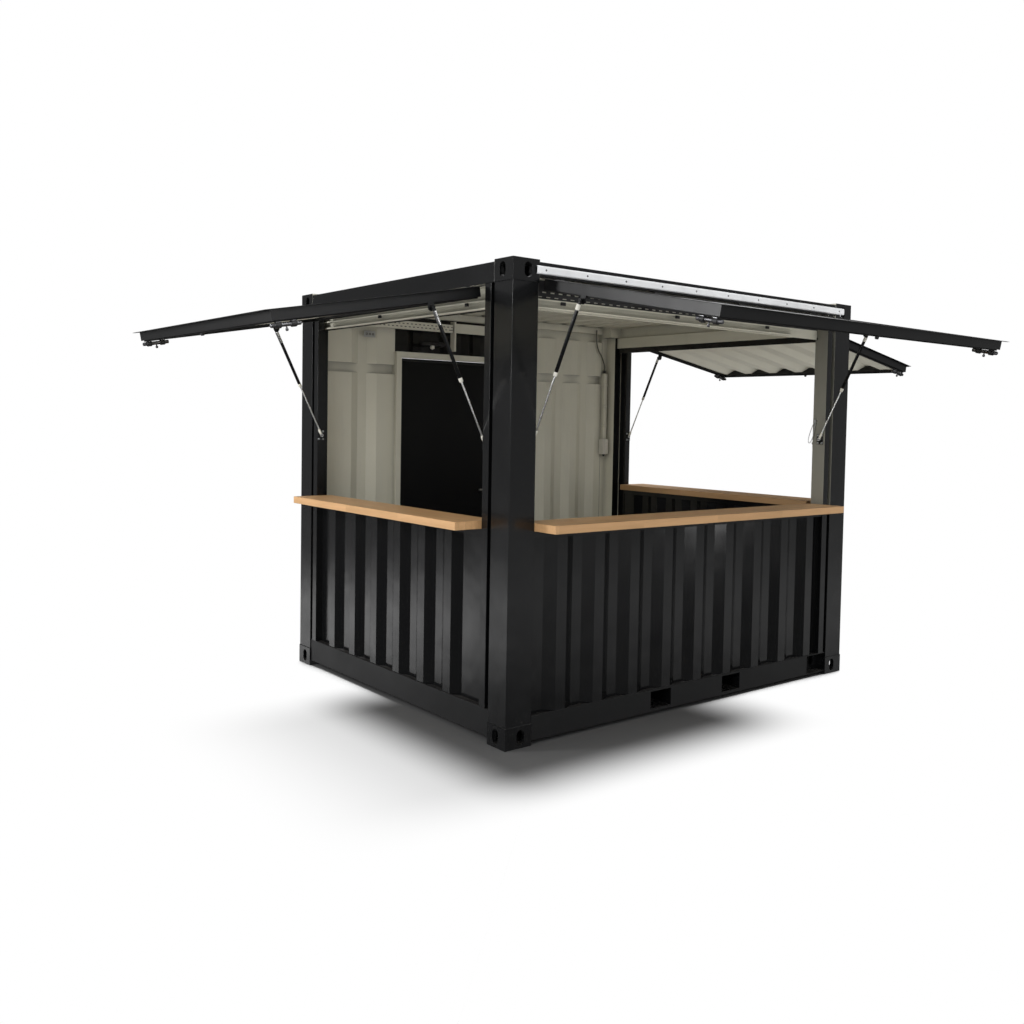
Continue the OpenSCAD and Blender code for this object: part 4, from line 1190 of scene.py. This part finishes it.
class KIOSK_OT_lintels(bpy.types.Operator):
    """Fit the slotted strip, the channel clips and the tray over the door"""

    bl_idname = "kiosk.lintels"
    bl_label = "Lintels and trays"

    def execute(self, context):
        self.slotted_strip(context.scene.kiosk_sizes.slots)
        self.clips()
        self.door_tray()
        return {"FINISHED"}

    def slotted_strip(self, count):
        """Black strip with two rows of slots, in front of the pale lintel."""
        low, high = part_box("front_lintel")
        y0, y1 = -BODY_Y + 0.0885, -BODY_Y + 0.0915
        x0, x1 = low.x + 0.004, high.x - 0.004
        rows = [(2.4095, 2.4145), (2.4335, 2.4405)]
        rails = Shape()
        for z0, z1 in row_bands(rows, 2.402, high.z - 0.006):
            rails.box((x0, y0, z0), (x1, y1, z1))
        rails.piece("slotted_strip_rails", "body", "trim", "black_paint", PLATE_EDGE, 1)
        pitch = (x1 - x0) / count * 2
        for name, (z0, z1), phase in (("lower", rows[0], 0.5), ("upper", rows[1], 0.0)):
            places = []
            x = x0 + pitch * (phase + 0.25)
            while x < x1 - pitch / 4:
                places.append((x, (y0 + y1) / 2, (z0 + z1) / 2))
                x += pitch
            size = (pitch * 0.48, y1 - y0, z1 - z0 + WEB_LAP)
            set_webs("slotted_strip_webs_" + name, "trim", "black_paint", places, size)

    def clips(self):
        """Black clips that bridge the mouths of the service channels."""
        clips = Shape()
        low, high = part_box("service_channel")
        middle = (low.z + high.z) / 2
        for x in FRONT_CLIPS:
            self.clip(clips, Matrix.Translation((x, low.y, middle)))
        for side, places in END_CLIPS.items():
            for x in places:
                self.clip(clips, face(side) @ Matrix.Translation((x, 0.064, middle)))
        clips.piece("channel_clips", "body", "trim", "black_paint", 0.001, 2)

    def clip(self, shape, place):
        shape.place = place
        shape.box((-0.017, -0.003, 0.001), (0.017, 0.004, 0.019))
        shape.box((-0.011, -0.006, 0.005), (0.011, -0.003, 0.015))

    def door_tray(self):
        """Perforated cable tray along the back wall, with its plain end and a pale post below."""
        y0, y1 = 1.096, 1.099
        rows = [(2.421, 2.427), (2.443, 2.449)]
        x0, x1, low, high = -1.20, -0.30, 2.405, 2.465
        rails = Shape()
        for z0, z1 in row_bands(rows, low, high):
            rails.box((x0, y0, z0), (x1, y1, z1))
        rails.box((x0, y1, low), (x1, 1.140, low + 0.0025))
        rails.box((-0.270, y0, low), (0.30, y1, 2.478))
        rails.box((-0.288, y0 - 0.006, 2.262), (-0.274, WALL_INSIDE, 2.490))
        rails.piece("door_tray_rails", "body", "cream", "cream_paint", PLATE_EDGE, 1)
        backing = Shape()
        backing.box((x0, y1 + 0.003, 2.409), (x1, y1 + 0.006, 2.462))
        backing.box((x0 + 0.02, y1 + 0.006, 2.430), (x1 - 0.02, WALL_INSIDE, 2.436))
        backing.piece("door_tray_backing", "body", "trim", "black_paint", PLATE_EDGE, 1)
        width = 0.018
        for name, (z0, z1), phase in (("lower", rows[0], 0.5), ("upper", rows[1], 0.0)):
            along = [x0 + width / 2 + 2 * width * (i + phase) for i in range(25)]
            middle = ((y0 + y1) / 2, (z0 + z1) / 2)
            places = [(x,) + middle for x in along if x < x1 - 0.01]
            size = (width, y1 - y0, z1 - z0 + WEB_LAP)
            set_webs("door_tray_webs_" + name, "cream", "cream_paint", places, size)


class KIOSK_OT_door(bpy.types.Operator):
    """Fit the door's seal and lock, the lever over its head and the vent plate beside it"""

    bl_idname = "kiosk.door"
    bl_label = "Door fittings"

    def execute(self, context):
        low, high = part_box("door_leaf")
        self.seal(low, high, context.scene.kiosk_sizes.seal)
        self.lock(low, high)
        self.lever()
        self.vent()
        return {"FINISHED"}

    def seal(self, low, high, width):
        """A bulb seal round the leaf's inner face."""

        def corners(inset, height):
            y = low.y - 0.0018 + height
            return [(low.x + inset, y, low.z + inset), (high.x - inset, y, low.z + inset),
                    (high.x - inset, y, high.z - inset), (low.x + inset, y, high.z - inset)]

        seal = Shape()
        seal.closed_loft(seal_rings(corners, 0.010, width, 0.0028, 8))
        seal.piece("door_seal", "door", "rubber", "black_paint")

    def lock(self, low, high):
        """A round lock on both faces, under the handle."""
        lock = Shape()
        for y, way in ((low.y, -1), (high.y, 1)):
            lock.turned((high.x - 0.060, y, 1.115), (0, way, 0), LOCK)
        lock.piece("door_lock", "door", "bolt_steel", "zinc")

    def lever(self):
        """The roller lever and its pale catch on the wall over the door."""
        lever = Shape()
        lever.box((-0.573, 1.100, 2.296), (-0.420, 1.128, 2.320))
        lever.turned((-0.395, 1.114, 2.308), (0, -1, 0), LEVER_ROLLER)
        lever.box((-0.555, 1.088, 2.300), (-0.365, 1.098, 2.314))
        lever.box((-0.56, 1.128, 2.302), (-0.52, WALL_INSIDE, 2.314))
        lever.box((-0.44, 1.120, 2.302), (-0.40, WALL_INSIDE, 2.314))
        lever.piece("door_lever", "body", "trim", "black_paint", 0.002)
        catch = Shape()
        catch.box((-0.495, 1.090, 2.272), (-0.470, 1.112, 2.297))
        catch.turned((-0.4825, 1.101, 2.272), (0, 0, -1), CATCH_PIN)
        catch.piece("door_catch", "body", "plastic", "cream_paint", 0.002)

    def vent(self):
        """A bright plate with three grommets."""
        face_y = 1.148
        plate = Shape()
        plate.box((-1.040, face_y, 2.330), (-0.948, 1.1555, 2.376))
        plate.piece("vent_plate", "body", "bolt_steel", "zinc", 0.002)
        holes = Shape()
        for x in (-1.020, -0.994, -0.968):
            holes.turned((x, face_y, 2.353), (0, -1, 0), VENT_GROMMET)
        holes.piece("vent_grommets", "body", "rubber", "black_paint")


CABLE_RADIUS = 0.0055
CABLE_RISE = (
    (0, 0, 0), (0, 0, 0.05), (-0.035, 0, 0.13), (-0.075, 0, 0.185), (-0.10, 0, 0.26), (-0.10, 0, 0.36)
)
CABLE_STEPS = 6
STRAP = 0.003
STRAP_HALF = 0.008


class KIOSK_OT_wiring(bpy.types.Operator):
    """Run the supply cable into the trunk and finish the socket box"""

    bl_idname = "kiosk.wiring"
    bl_label = "Wiring"

    def execute(self, context):
        low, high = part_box("socket_box")
        trunk_low, trunk_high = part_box("wiring_trunk")
        centre = (low.x + high.x) / 2
        middle = (trunk_low.y + trunk_high.y) / 2
        self.cover(low, high)
        glands = Shape()
        glands.turned((centre, (low.y + high.y) / 2, low.z), (0, 0, -1), BOX_GLAND)
        glands.turned((centre, middle, trunk_high.z), (0, 0, 1), TRUNK_GLAND)
        glands.piece("cable_glands", "body", "trim", "black_paint")
        self.cable(Vector((centre, middle, trunk_high.z + 0.012)))
        self.straps(trunk_low, trunk_high)
        return {"FINISHED"}

    def cover(self, low, high):
        """The socket box's lid, its sprung flap and the flap's hinge."""
        cover = Shape()
        lid_y, flap_y = low.y - 0.004, low.y - 0.010
        cover.box(
            (low.x + 0.004, lid_y, low.z + 0.006), (high.x - 0.004, low.y + 0.001, high.z - 0.006)
        )
        cover.box((low.x + 0.010, flap_y, low.z + 0.018), (high.x - 0.010, lid_y, high.z - 0.045))
        hinge = [(0, 0.0045), (high.x - low.x - 0.024, 0.0045)]
        cover.turned((low.x + 0.012, low.y - 0.007, high.z - 0.042), (1, 0, 0), hinge, 12)
        cover.piece("socket_cover", "body", "plastic", "cream_paint", 0.002)

    def cable(self, start):
        """The supply cable, which ends in the ceiling."""
        route = self.route(start)
        length = sum((b - a).length for a, b in zip(route, route[1:]))
        cable = Shape()
        cable.swept(route, CABLE_RADIUS)
        made = cable.piece("supply_cable", "body", "cable", "black_paint")
        tuple(route[0])
        [tuple(point) for point in route]

    def straps(self, low, high):
        """Three straps that hold the trunk to the wall."""
        straps = Shape()
        x0, x1, y0 = low.x - STRAP, high.x + STRAP, low.y - STRAP
        for z in (low.z + 0.12, high.z - 0.10, (low.z + high.z) / 2):
            under, over = z - STRAP_HALF, z + STRAP_HALF
            straps.box((x0, y0, under), (x1, low.y, over))
            straps.box((x0, y0, under), (low.x, high.y, over))
            straps.box((high.x, y0, under), (x1, high.y, over))
        straps.piece("trunk_straps", "body", "cream", "cream_paint", 0.0008, 1)

    def route(self, start):
        """A smooth way from the trunk up the wall, over to the left and into the ceiling."""
        ends = [start + Vector(step) for step in CABLE_RISE]
        points = []
        for i in range(len(ends) - 1):
            a, b = ends[max(i - 1, 0)], ends[i]
            c, d = ends[i + 1], ends[min(i + 2, len(ends) - 1)]
            for k in range(CABLE_STEPS):
                t = k / CABLE_STEPS
                point = (2 * b) + (c - a) * t + (2 * a - 5 * b + 4 * c - d) * t * t
                points.append(0.5 * (point + (3 * b - a - 3 * c + d) * t * t * t))
        points.append(ends[-1])
        return points


CASTING = (0.178, 0.162, 0.118)
CASTING_WALL = 0.028
PLATE_THICK = 0.006
PLATE_SEAT = 0.0003
BAND_HEIGHTS = ((2.0705, 2.1385), (2.4345, 2.4725))


class KIOSK_OT_closing_plates(bpy.types.Operator):
    """Close the castings' inner sides, the front rail's open end and the wall bands' ends"""

    bl_idname = "kiosk.closing_plates"
    bl_label = "Closing plates"

    def execute(self, context):
        self.casting_plates("casting_plates_top", CAD_BOX[1][2] - CASTING[2], "casting")
        self.casting_plates("casting_plates_bottom", 0.0, "black")
        low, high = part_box("bottom_side_rails")
        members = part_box("floor_cross_members")[1]
        backing = Shape()
        backing.box(
            (members.x + PLATE_SEAT, low.y + 0.060, low.z + PLATE_THICK),
            (high.x - PLATE_SEAT, low.y + 0.064, high.z - PLATE_THICK),
        )
        backing.piece("rail_end_backing", "body", "black", "black_paint")
        self.band_ends()
        return {"FINISHED"}

    def casting_plates(self, name, foot, paint):
        """The two inner sides of each of four castings."""
        length, width, height = CASTING
        x0, x1 = BODY_X - length + PLATE_SEAT, BODY_X - length + PLATE_THICK
        y0, y1 = BODY_Y - width + PLATE_SEAT, BODY_Y - width + PLATE_THICK
        x2, y2 = BODY_X - CASTING_WALL, BODY_Y - CASTING_WALL
        z0, z1 = foot + CASTING_WALL, foot + height - CASTING_WALL
        plates = Shape()
        for sx in (-1, 1):
            for sy in (-1, 1):
                for near, far in (((x0, y0), (x1, y2)), ((x1, y0), (x2, y1))):
                    xs = sorted((near[0] * sx, far[0] * sx))
                    ys = sorted((near[1] * sy, far[1] * sy))
                    plates.box((xs[0], ys[0], z0), (xs[1], ys[1], z1))
        plates.piece(name, "body", paint, "black_paint")

    def band_ends(self):
        """Thin plates that shut the ends of the back wall's plain bands."""
        ends = Shape()
        left_low, left_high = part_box("back_wall_left")
        right_low, right_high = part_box("back_wall_right")
        y0, y1 = left_low.y - 0.003, left_high.y - 0.0025
        for low_z, high_z in BAND_HEIGHTS:
            for x, way in ((left_low.x, 1), (left_high.x, -1), (right_low.x, 1), (right_high.x, -1)):
                near, far = sorted((x + way * PLATE_SEAT, x + way * 0.003))
                ends.box((near, y0, low_z), (far, y1, high_z))
        ends.piece("band_end_plates", "body", "cream", "cream_paint")


LOOP_SIDES = 24
LOOP_WIRE = 0.0022
LOOP_HALF_WIDTH = 0.022
LOOP_HALF_HEIGHT = 0.078
LOOP_SLANT = 0.022
LOOP_OUT = 0.010


class KIOSK_OT_trims(bpy.types.Operator):
    """Add the jamb plug and the pull loop beside the front opening"""

    bl_idname = "kiosk.trims"
    bl_label = "Small trims"

    def execute(self, context):
        jamb = JOINTS["strut_front_b_pivot"]["pos_m"][0] + 0.015
        plug = Shape()
        plug.turned((jamb, -1.128, 2.346), (-1, 0, 0), JAMB_PLUG)
        plug.piece("jamb_plug", "body", "rubber", "black_paint")
        self.pull_loop(jamb, -1.118, 1.700)
        return {"FINISHED"}

    def pull_loop(self, jamb, y, z):
        """A slanting loop of wire that hangs from a small block."""
        loop = []
        for i in range(LOOP_SIDES):
            angle = 2 * math.pi * i / LOOP_SIDES
            drop = 0.5 - 0.5 * math.cos(angle)
            across = math.sin(angle) * LOOP_HALF_WIDTH * (0.35 + 0.65 * drop)
            across -= math.cos(angle) * LOOP_SLANT
            height = z + math.cos(angle) * LOOP_HALF_HEIGHT
            loop.append(Vector((jamb - LOOP_OUT, y + across, height)))
        wire = Shape()
        first = Vector((1, 0, 0))
        rings = []
        for i, point in enumerate(loop):
            ahead = (loop[(i + 1) % LOOP_SIDES] - loop[i - 1]).normalized()
            rings.append(circle(point, first, ahead.cross(first), LOOP_WIRE, 8))
        wire.closed_loft(rings)
        middle = y - LOOP_SLANT
        wire.box((jamb - 0.014, middle - 0.008, z + 0.066), (jamb, middle + 0.006, z + 0.086))
        wire.piece("pull_loop", "body", "bolt_steel", "zinc")


# ---- stage ----

CAMERA_PLACE = (-4.6510, -5.3578, 1.7488)
CAMERA_YAW = 50.848
CAMERA_PITCH = -2.571
CAMERA_ROLL = 1.049
CAMERA_LENS = 35.254
CAMERA_SENSOR = 36.0
CAMERA_SHIFT = (-0.0290, -0.0459)

# The floor: how far the contact shade reaches and where it fades, and the edges of the soft pool.
CONTACT_REACH = 0.3
CONTACT_FADE = (0.45, 0.62)
POOL_LEFT = ((1.6, 2.06, 0.65), (1.7, 2.9, 0.35))
POOL_FRONT = (1.45, 2.0)
POOL_BACK = (-0.2, 0.45)
POOL_RIGHT = (-0.2, 0.5)
FLOOR_REACH = 90.0
FLOOR_BOUNCE = (0.62, 0.62, 0.62, 1)
FLOOR_SHADE = (0.12, 0.12, 0.12, 1)
WHITE = (1, 1, 1, 1)

STUDIO_DARK = 0.06
STUDIO_AMBIENT = 0.5
# Panels that the paint mirrors: azimuth in degrees, and strength, for the back one below and above.
FRONT_PANEL = (-42.0, 0.60)
CORNER_PANEL = (-130.0, 0.60)
BACK_PANEL = (121.0, 2.2, 0.12)
# How each panel fades to its sides, as the cosine of the angle from its middle.
FRONT_SIDES = (0.78, 0.96)
CORNER_SIDES = (0.80, 1.0)
BACK_SIDES = (0.94, 0.99)
# Where the panels' lower and upper edges fade, as the rise of a direction.
PANEL_FOOT = (-0.27, -0.19)
FRONT_FADE = (-0.17, -0.12)
LOW_BAND_FOOT = (-0.255, -0.23)
LOW_BAND_TOP = (-0.18, -0.155)
BACK_FOOT = (-0.15, -0.1)
OVERHEAD = (0.35, 0.7)
# Soft lamps: place, target, size and power.
LAMPS = {
    "left_strip": ((-6.2, 1.6, 3.0), (0, 0.3, 1.2), (0.8, 2.2), 150.0),
    "left_fill": ((-6.6, -3.2, 3.0), (0.0, 0.2, 1.7), (2.4, 1.8), 95.0),
    "front_strip": ((-0.6, -6.8, 2.4), (0.5, 0, 1.0), (0.7, 4.0), 45.0),
    "high_strip": ((0.3, -3.6, 4.6), (0.0, -1.2, 2.55), (3.2, 0.3), 60.0),
}


def camera_matrix():
    """The camera's place and turn from its yaw from +X, its pitch and its roll."""
    yaw, pitch, roll = (math.radians(a) for a in (CAMERA_YAW, CAMERA_PITCH, CAMERA_ROLL))
    level_reach = math.cos(pitch)
    look = Vector((level_reach * math.cos(yaw), level_reach * math.sin(yaw), math.sin(pitch)))
    level = Vector((math.sin(yaw), -math.cos(yaw), 0))
    upright = level.cross(look)
    right = level * math.cos(roll) + upright * math.sin(roll)
    up = upright * math.cos(roll) - level * math.sin(roll)
    turn = Matrix((right, up, -look)).transposed().to_4x4()
    return Matrix.Translation(CAMERA_PLACE) @ turn


class Sky(Finish):
    """The world's node tree, with the same node-making method."""

    def __init__(self, world):
        world.use_nodes = True
        self.tree = world.node_tree
        self.tree.nodes.clear()

    def towards(self, azimuth, low, high):
        """A mask round one direction over the ground, from its cosine."""
        angle = math.radians(azimuth)
        along = self.part[0] * math.cos(angle) + self.part[1] * math.sin(angle)
        return self.steps(along, low, high)


def studio_world():
    """White for the eye and through clear matter; soft panels for what paint and metal mirror."""
    world = bpy.data.worlds.new("studio")
    sky = Sky(world)
    rays = sky.tree.nodes.new("ShaderNodeLightPath")
    eye, mirrored, through = (
        Wire(sky, rays.outputs[name])
        for name in ("Is Camera Ray", "Is Glossy Ray", "Is Transmission Ray")
    )
    sky.part = [sky.axis(axis, "Generated") for axis in "XYZ"]
    height = sky.part[2]
    walls = sky.steps(height, *PANEL_FOOT)
    front = sky.towards(FRONT_PANEL[0], *FRONT_SIDES) * walls * FRONT_PANEL[1]
    front = front * (1 - 0.65 * sky.steps(height, *FRONT_FADE))
    corner = sky.towards(CORNER_PANEL[0], *CORNER_SIDES) * walls * CORNER_PANEL[1]
    low_band = sky.steps(height, *LOW_BAND_FOOT) * (1 - sky.steps(height, *LOW_BAND_TOP))
    back = low_band * BACK_PANEL[1] + sky.steps(height, *BACK_FOOT) * BACK_PANEL[2]
    back = sky.towards(BACK_PANEL[0], *BACK_SIDES) * back
    above = sky.steps(height, *OVERHEAD)
    panels = above.maths("MAXIMUM", STUDIO_DARK + front + corner + back, above)
    white = eye.maths("MAXIMUM", eye, through)
    strength = white + mirrored * panels + (1 - white) * (1 - mirrored) * STUDIO_AMBIENT
    shader = sky.node("Background", {}, {"Color": WHITE, "Strength": strength})
    made = sky.tree.nodes.new("ShaderNodeOutputWorld")
    sky.tree.links.new(shader.socket, made.inputs["Surface"])
    return world


def area_lamp(name, place, target, size, power):
    """A soft rectangular lamp that looks at a target."""
    data = bpy.data.lights.new(name, "AREA")
    data.shape = "RECTANGLE"
    data.size, data.size_y = size
    data.energy = power
    lamp = bpy.data.objects.new(name, data)
    turn = (Vector(target) - Vector(place)).to_track_quat("-Z", "Y")
    lamp.matrix_world = Matrix.Translation(place) @ turn.to_matrix().to_4x4()
    bpy.context.collection.objects.link(lamp)


def sun_lamp(name, towards, spread, strength):
    """A broad, even light from a direction."""
    data = bpy.data.lights.new(name, "SUN")
    data.angle = math.radians(spread)
    data.energy = strength
    lamp = bpy.data.objects.new(name, data)
    lamp.matrix_world = Vector(towards).to_track_quat("Z", "Y").to_matrix().to_4x4()
    bpy.context.collection.objects.link(lamp)


def floor_shade(finish):
    """A soft pool of shade on the floor, before the long side and beside the left end."""
    x, y = finish.axis("X"), finish.axis("Y")
    pool = 1
    for low, high, share in POOL_LEFT:
        pool = pool - finish.steps(x * -1, low, high) * share
    pool = pool * (1 - finish.steps(y * -1, *POOL_FRONT)) * (1 - finish.steps(y, *POOL_BACK))
    return pool * (1 - finish.steps(x, *POOL_RIGHT))


class KIOSK_OT_stage(bpy.types.Operator):
    """Lay the floor, light the kiosk softly and set the camera"""

    bl_idname = "kiosk.stage"
    bl_label = "Stage"

    def execute(self, context):
        self.floor()
        context.scene.world = studio_world()
        self.lamps()
        self.camera(context.scene)
        context.scene.view_settings.view_transform = "Standard"
        return {"FINISHED"}

    def floor(self):
        """White to the eye but for a soft pool and a contact shade; plain grey to the light."""
        far = FLOOR_REACH
        data = bpy.data.meshes.new("studio_floor")
        corners = [(-far, -far, 0), (far, -far, 0), (far, far, 0), (-far, far, 0)]
        data.from_pydata(corners, [], [(0, 1, 2, 3)])
        floor = bpy.data.objects.new("studio_floor", data)
        bpy.context.collection.objects.link(floor)
        finish = Finish("studio_floor")
        rays = finish.tree.nodes.new("ShaderNodeLightPath")
        seen = Wire(finish, rays.outputs["Is Camera Ray"])
        tone = finish.blend(seen, FLOOR_BOUNCE, FLOOR_SHADE)
        shaded = finish.node("BsdfDiffuse", {}, {"Color": tone})
        lit = finish.node("Emission", {}, {"Color": WHITE, "Strength": 1.0})
        values = {"Distance": CONTACT_REACH}
        open_share = finish.node("AmbientOcclusion", {"samples": 16}, values, out="AO")
        clear = finish.steps(open_share, *CONTACT_FADE) * (1 - floor_shade(finish)) * seen
        finish.node_output(finish.node("MixShader", {}, {0: clear, 1: shaded, 2: lit}))
        data.materials.append(finish.material)
        floor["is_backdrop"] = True
        floor.visible_glossy = False

    def lamps(self):
        """A broad light from above and the soft lamps."""
        sun_lamp("sky_panel", (0.30, 0.38, 1.0), 40.0, 1.55)
        for name, settings in LAMPS.items():
            area_lamp(name, *settings)

    def camera(self, scene):
        """The camera, which stands off the near left corner."""
        eye = bpy.data.cameras.new("camera")
        eye.lens = CAMERA_LENS
        eye.sensor_width = CAMERA_SENSOR
        eye.shift_x, eye.shift_y = CAMERA_SHIFT
        camera = bpy.data.objects.new("camera", eye)
        camera.matrix_world = camera_matrix()
        bpy.context.collection.objects.link(camera)
        scene.camera = camera


# ---- panel and registration ----

OPERATORS = (
    KIOSK_OT_finishes,
    KIOSK_OT_welds,
    KIOSK_OT_fasteners,
    KIOSK_OT_flaps,
    KIOSK_OT_lintels,
    KIOSK_OT_door,
    KIOSK_OT_wiring,
    KIOSK_OT_closing_plates,
    KIOSK_OT_trims,
    KIOSK_OT_stage,
)


class KIOSK_PT_panel(bpy.types.Panel):
    """Lists the kiosk's steps, sizes and colours"""

    bl_label = "Kiosk"
    bl_idname = "KIOSK_PT_panel"
    bl_space_type = "VIEW_3D"
    bl_region_type = "UI"
    bl_category = "Kiosk"

    def draw(self, context):
        for operator in OPERATORS:
            self.layout.operator(operator.bl_idname)
        for group in (context.scene.kiosk_colours, context.scene.kiosk_sizes):
            for name in group.__annotations__:
                self.layout.prop(group, name)


CLASSES = (KioskColours, KioskSizes) + OPERATORS + (KIOSK_PT_panel,)


def register():
    for entry in CLASSES:
        bpy.utils.register_class(entry)
    bpy.types.Scene.kiosk_colours = PointerProperty(type=KioskColours)
    bpy.types.Scene.kiosk_sizes = PointerProperty(type=KioskSizes)


def unregister():
    del bpy.types.Scene.kiosk_sizes
    del bpy.types.Scene.kiosk_colours
    for entry in reversed(CLASSES):
        bpy.utils.unregister_class(entry)


def main():
    """Makes the whole kiosk."""
    register()
    for operator in OPERATORS:
        group, name = operator.bl_idname.split(".")
        getattr(getattr(bpy.ops, group), name)()
    bpy.context.view_layer.update()
    boxes = {"cad": CAD_BOX, "visual": [list(corner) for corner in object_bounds()]}
    boxes = {key: [[round(v, 5) for v in corner] for corner in box] for key, box in boxes.items()}


if __name__ == "__main__":
    main()
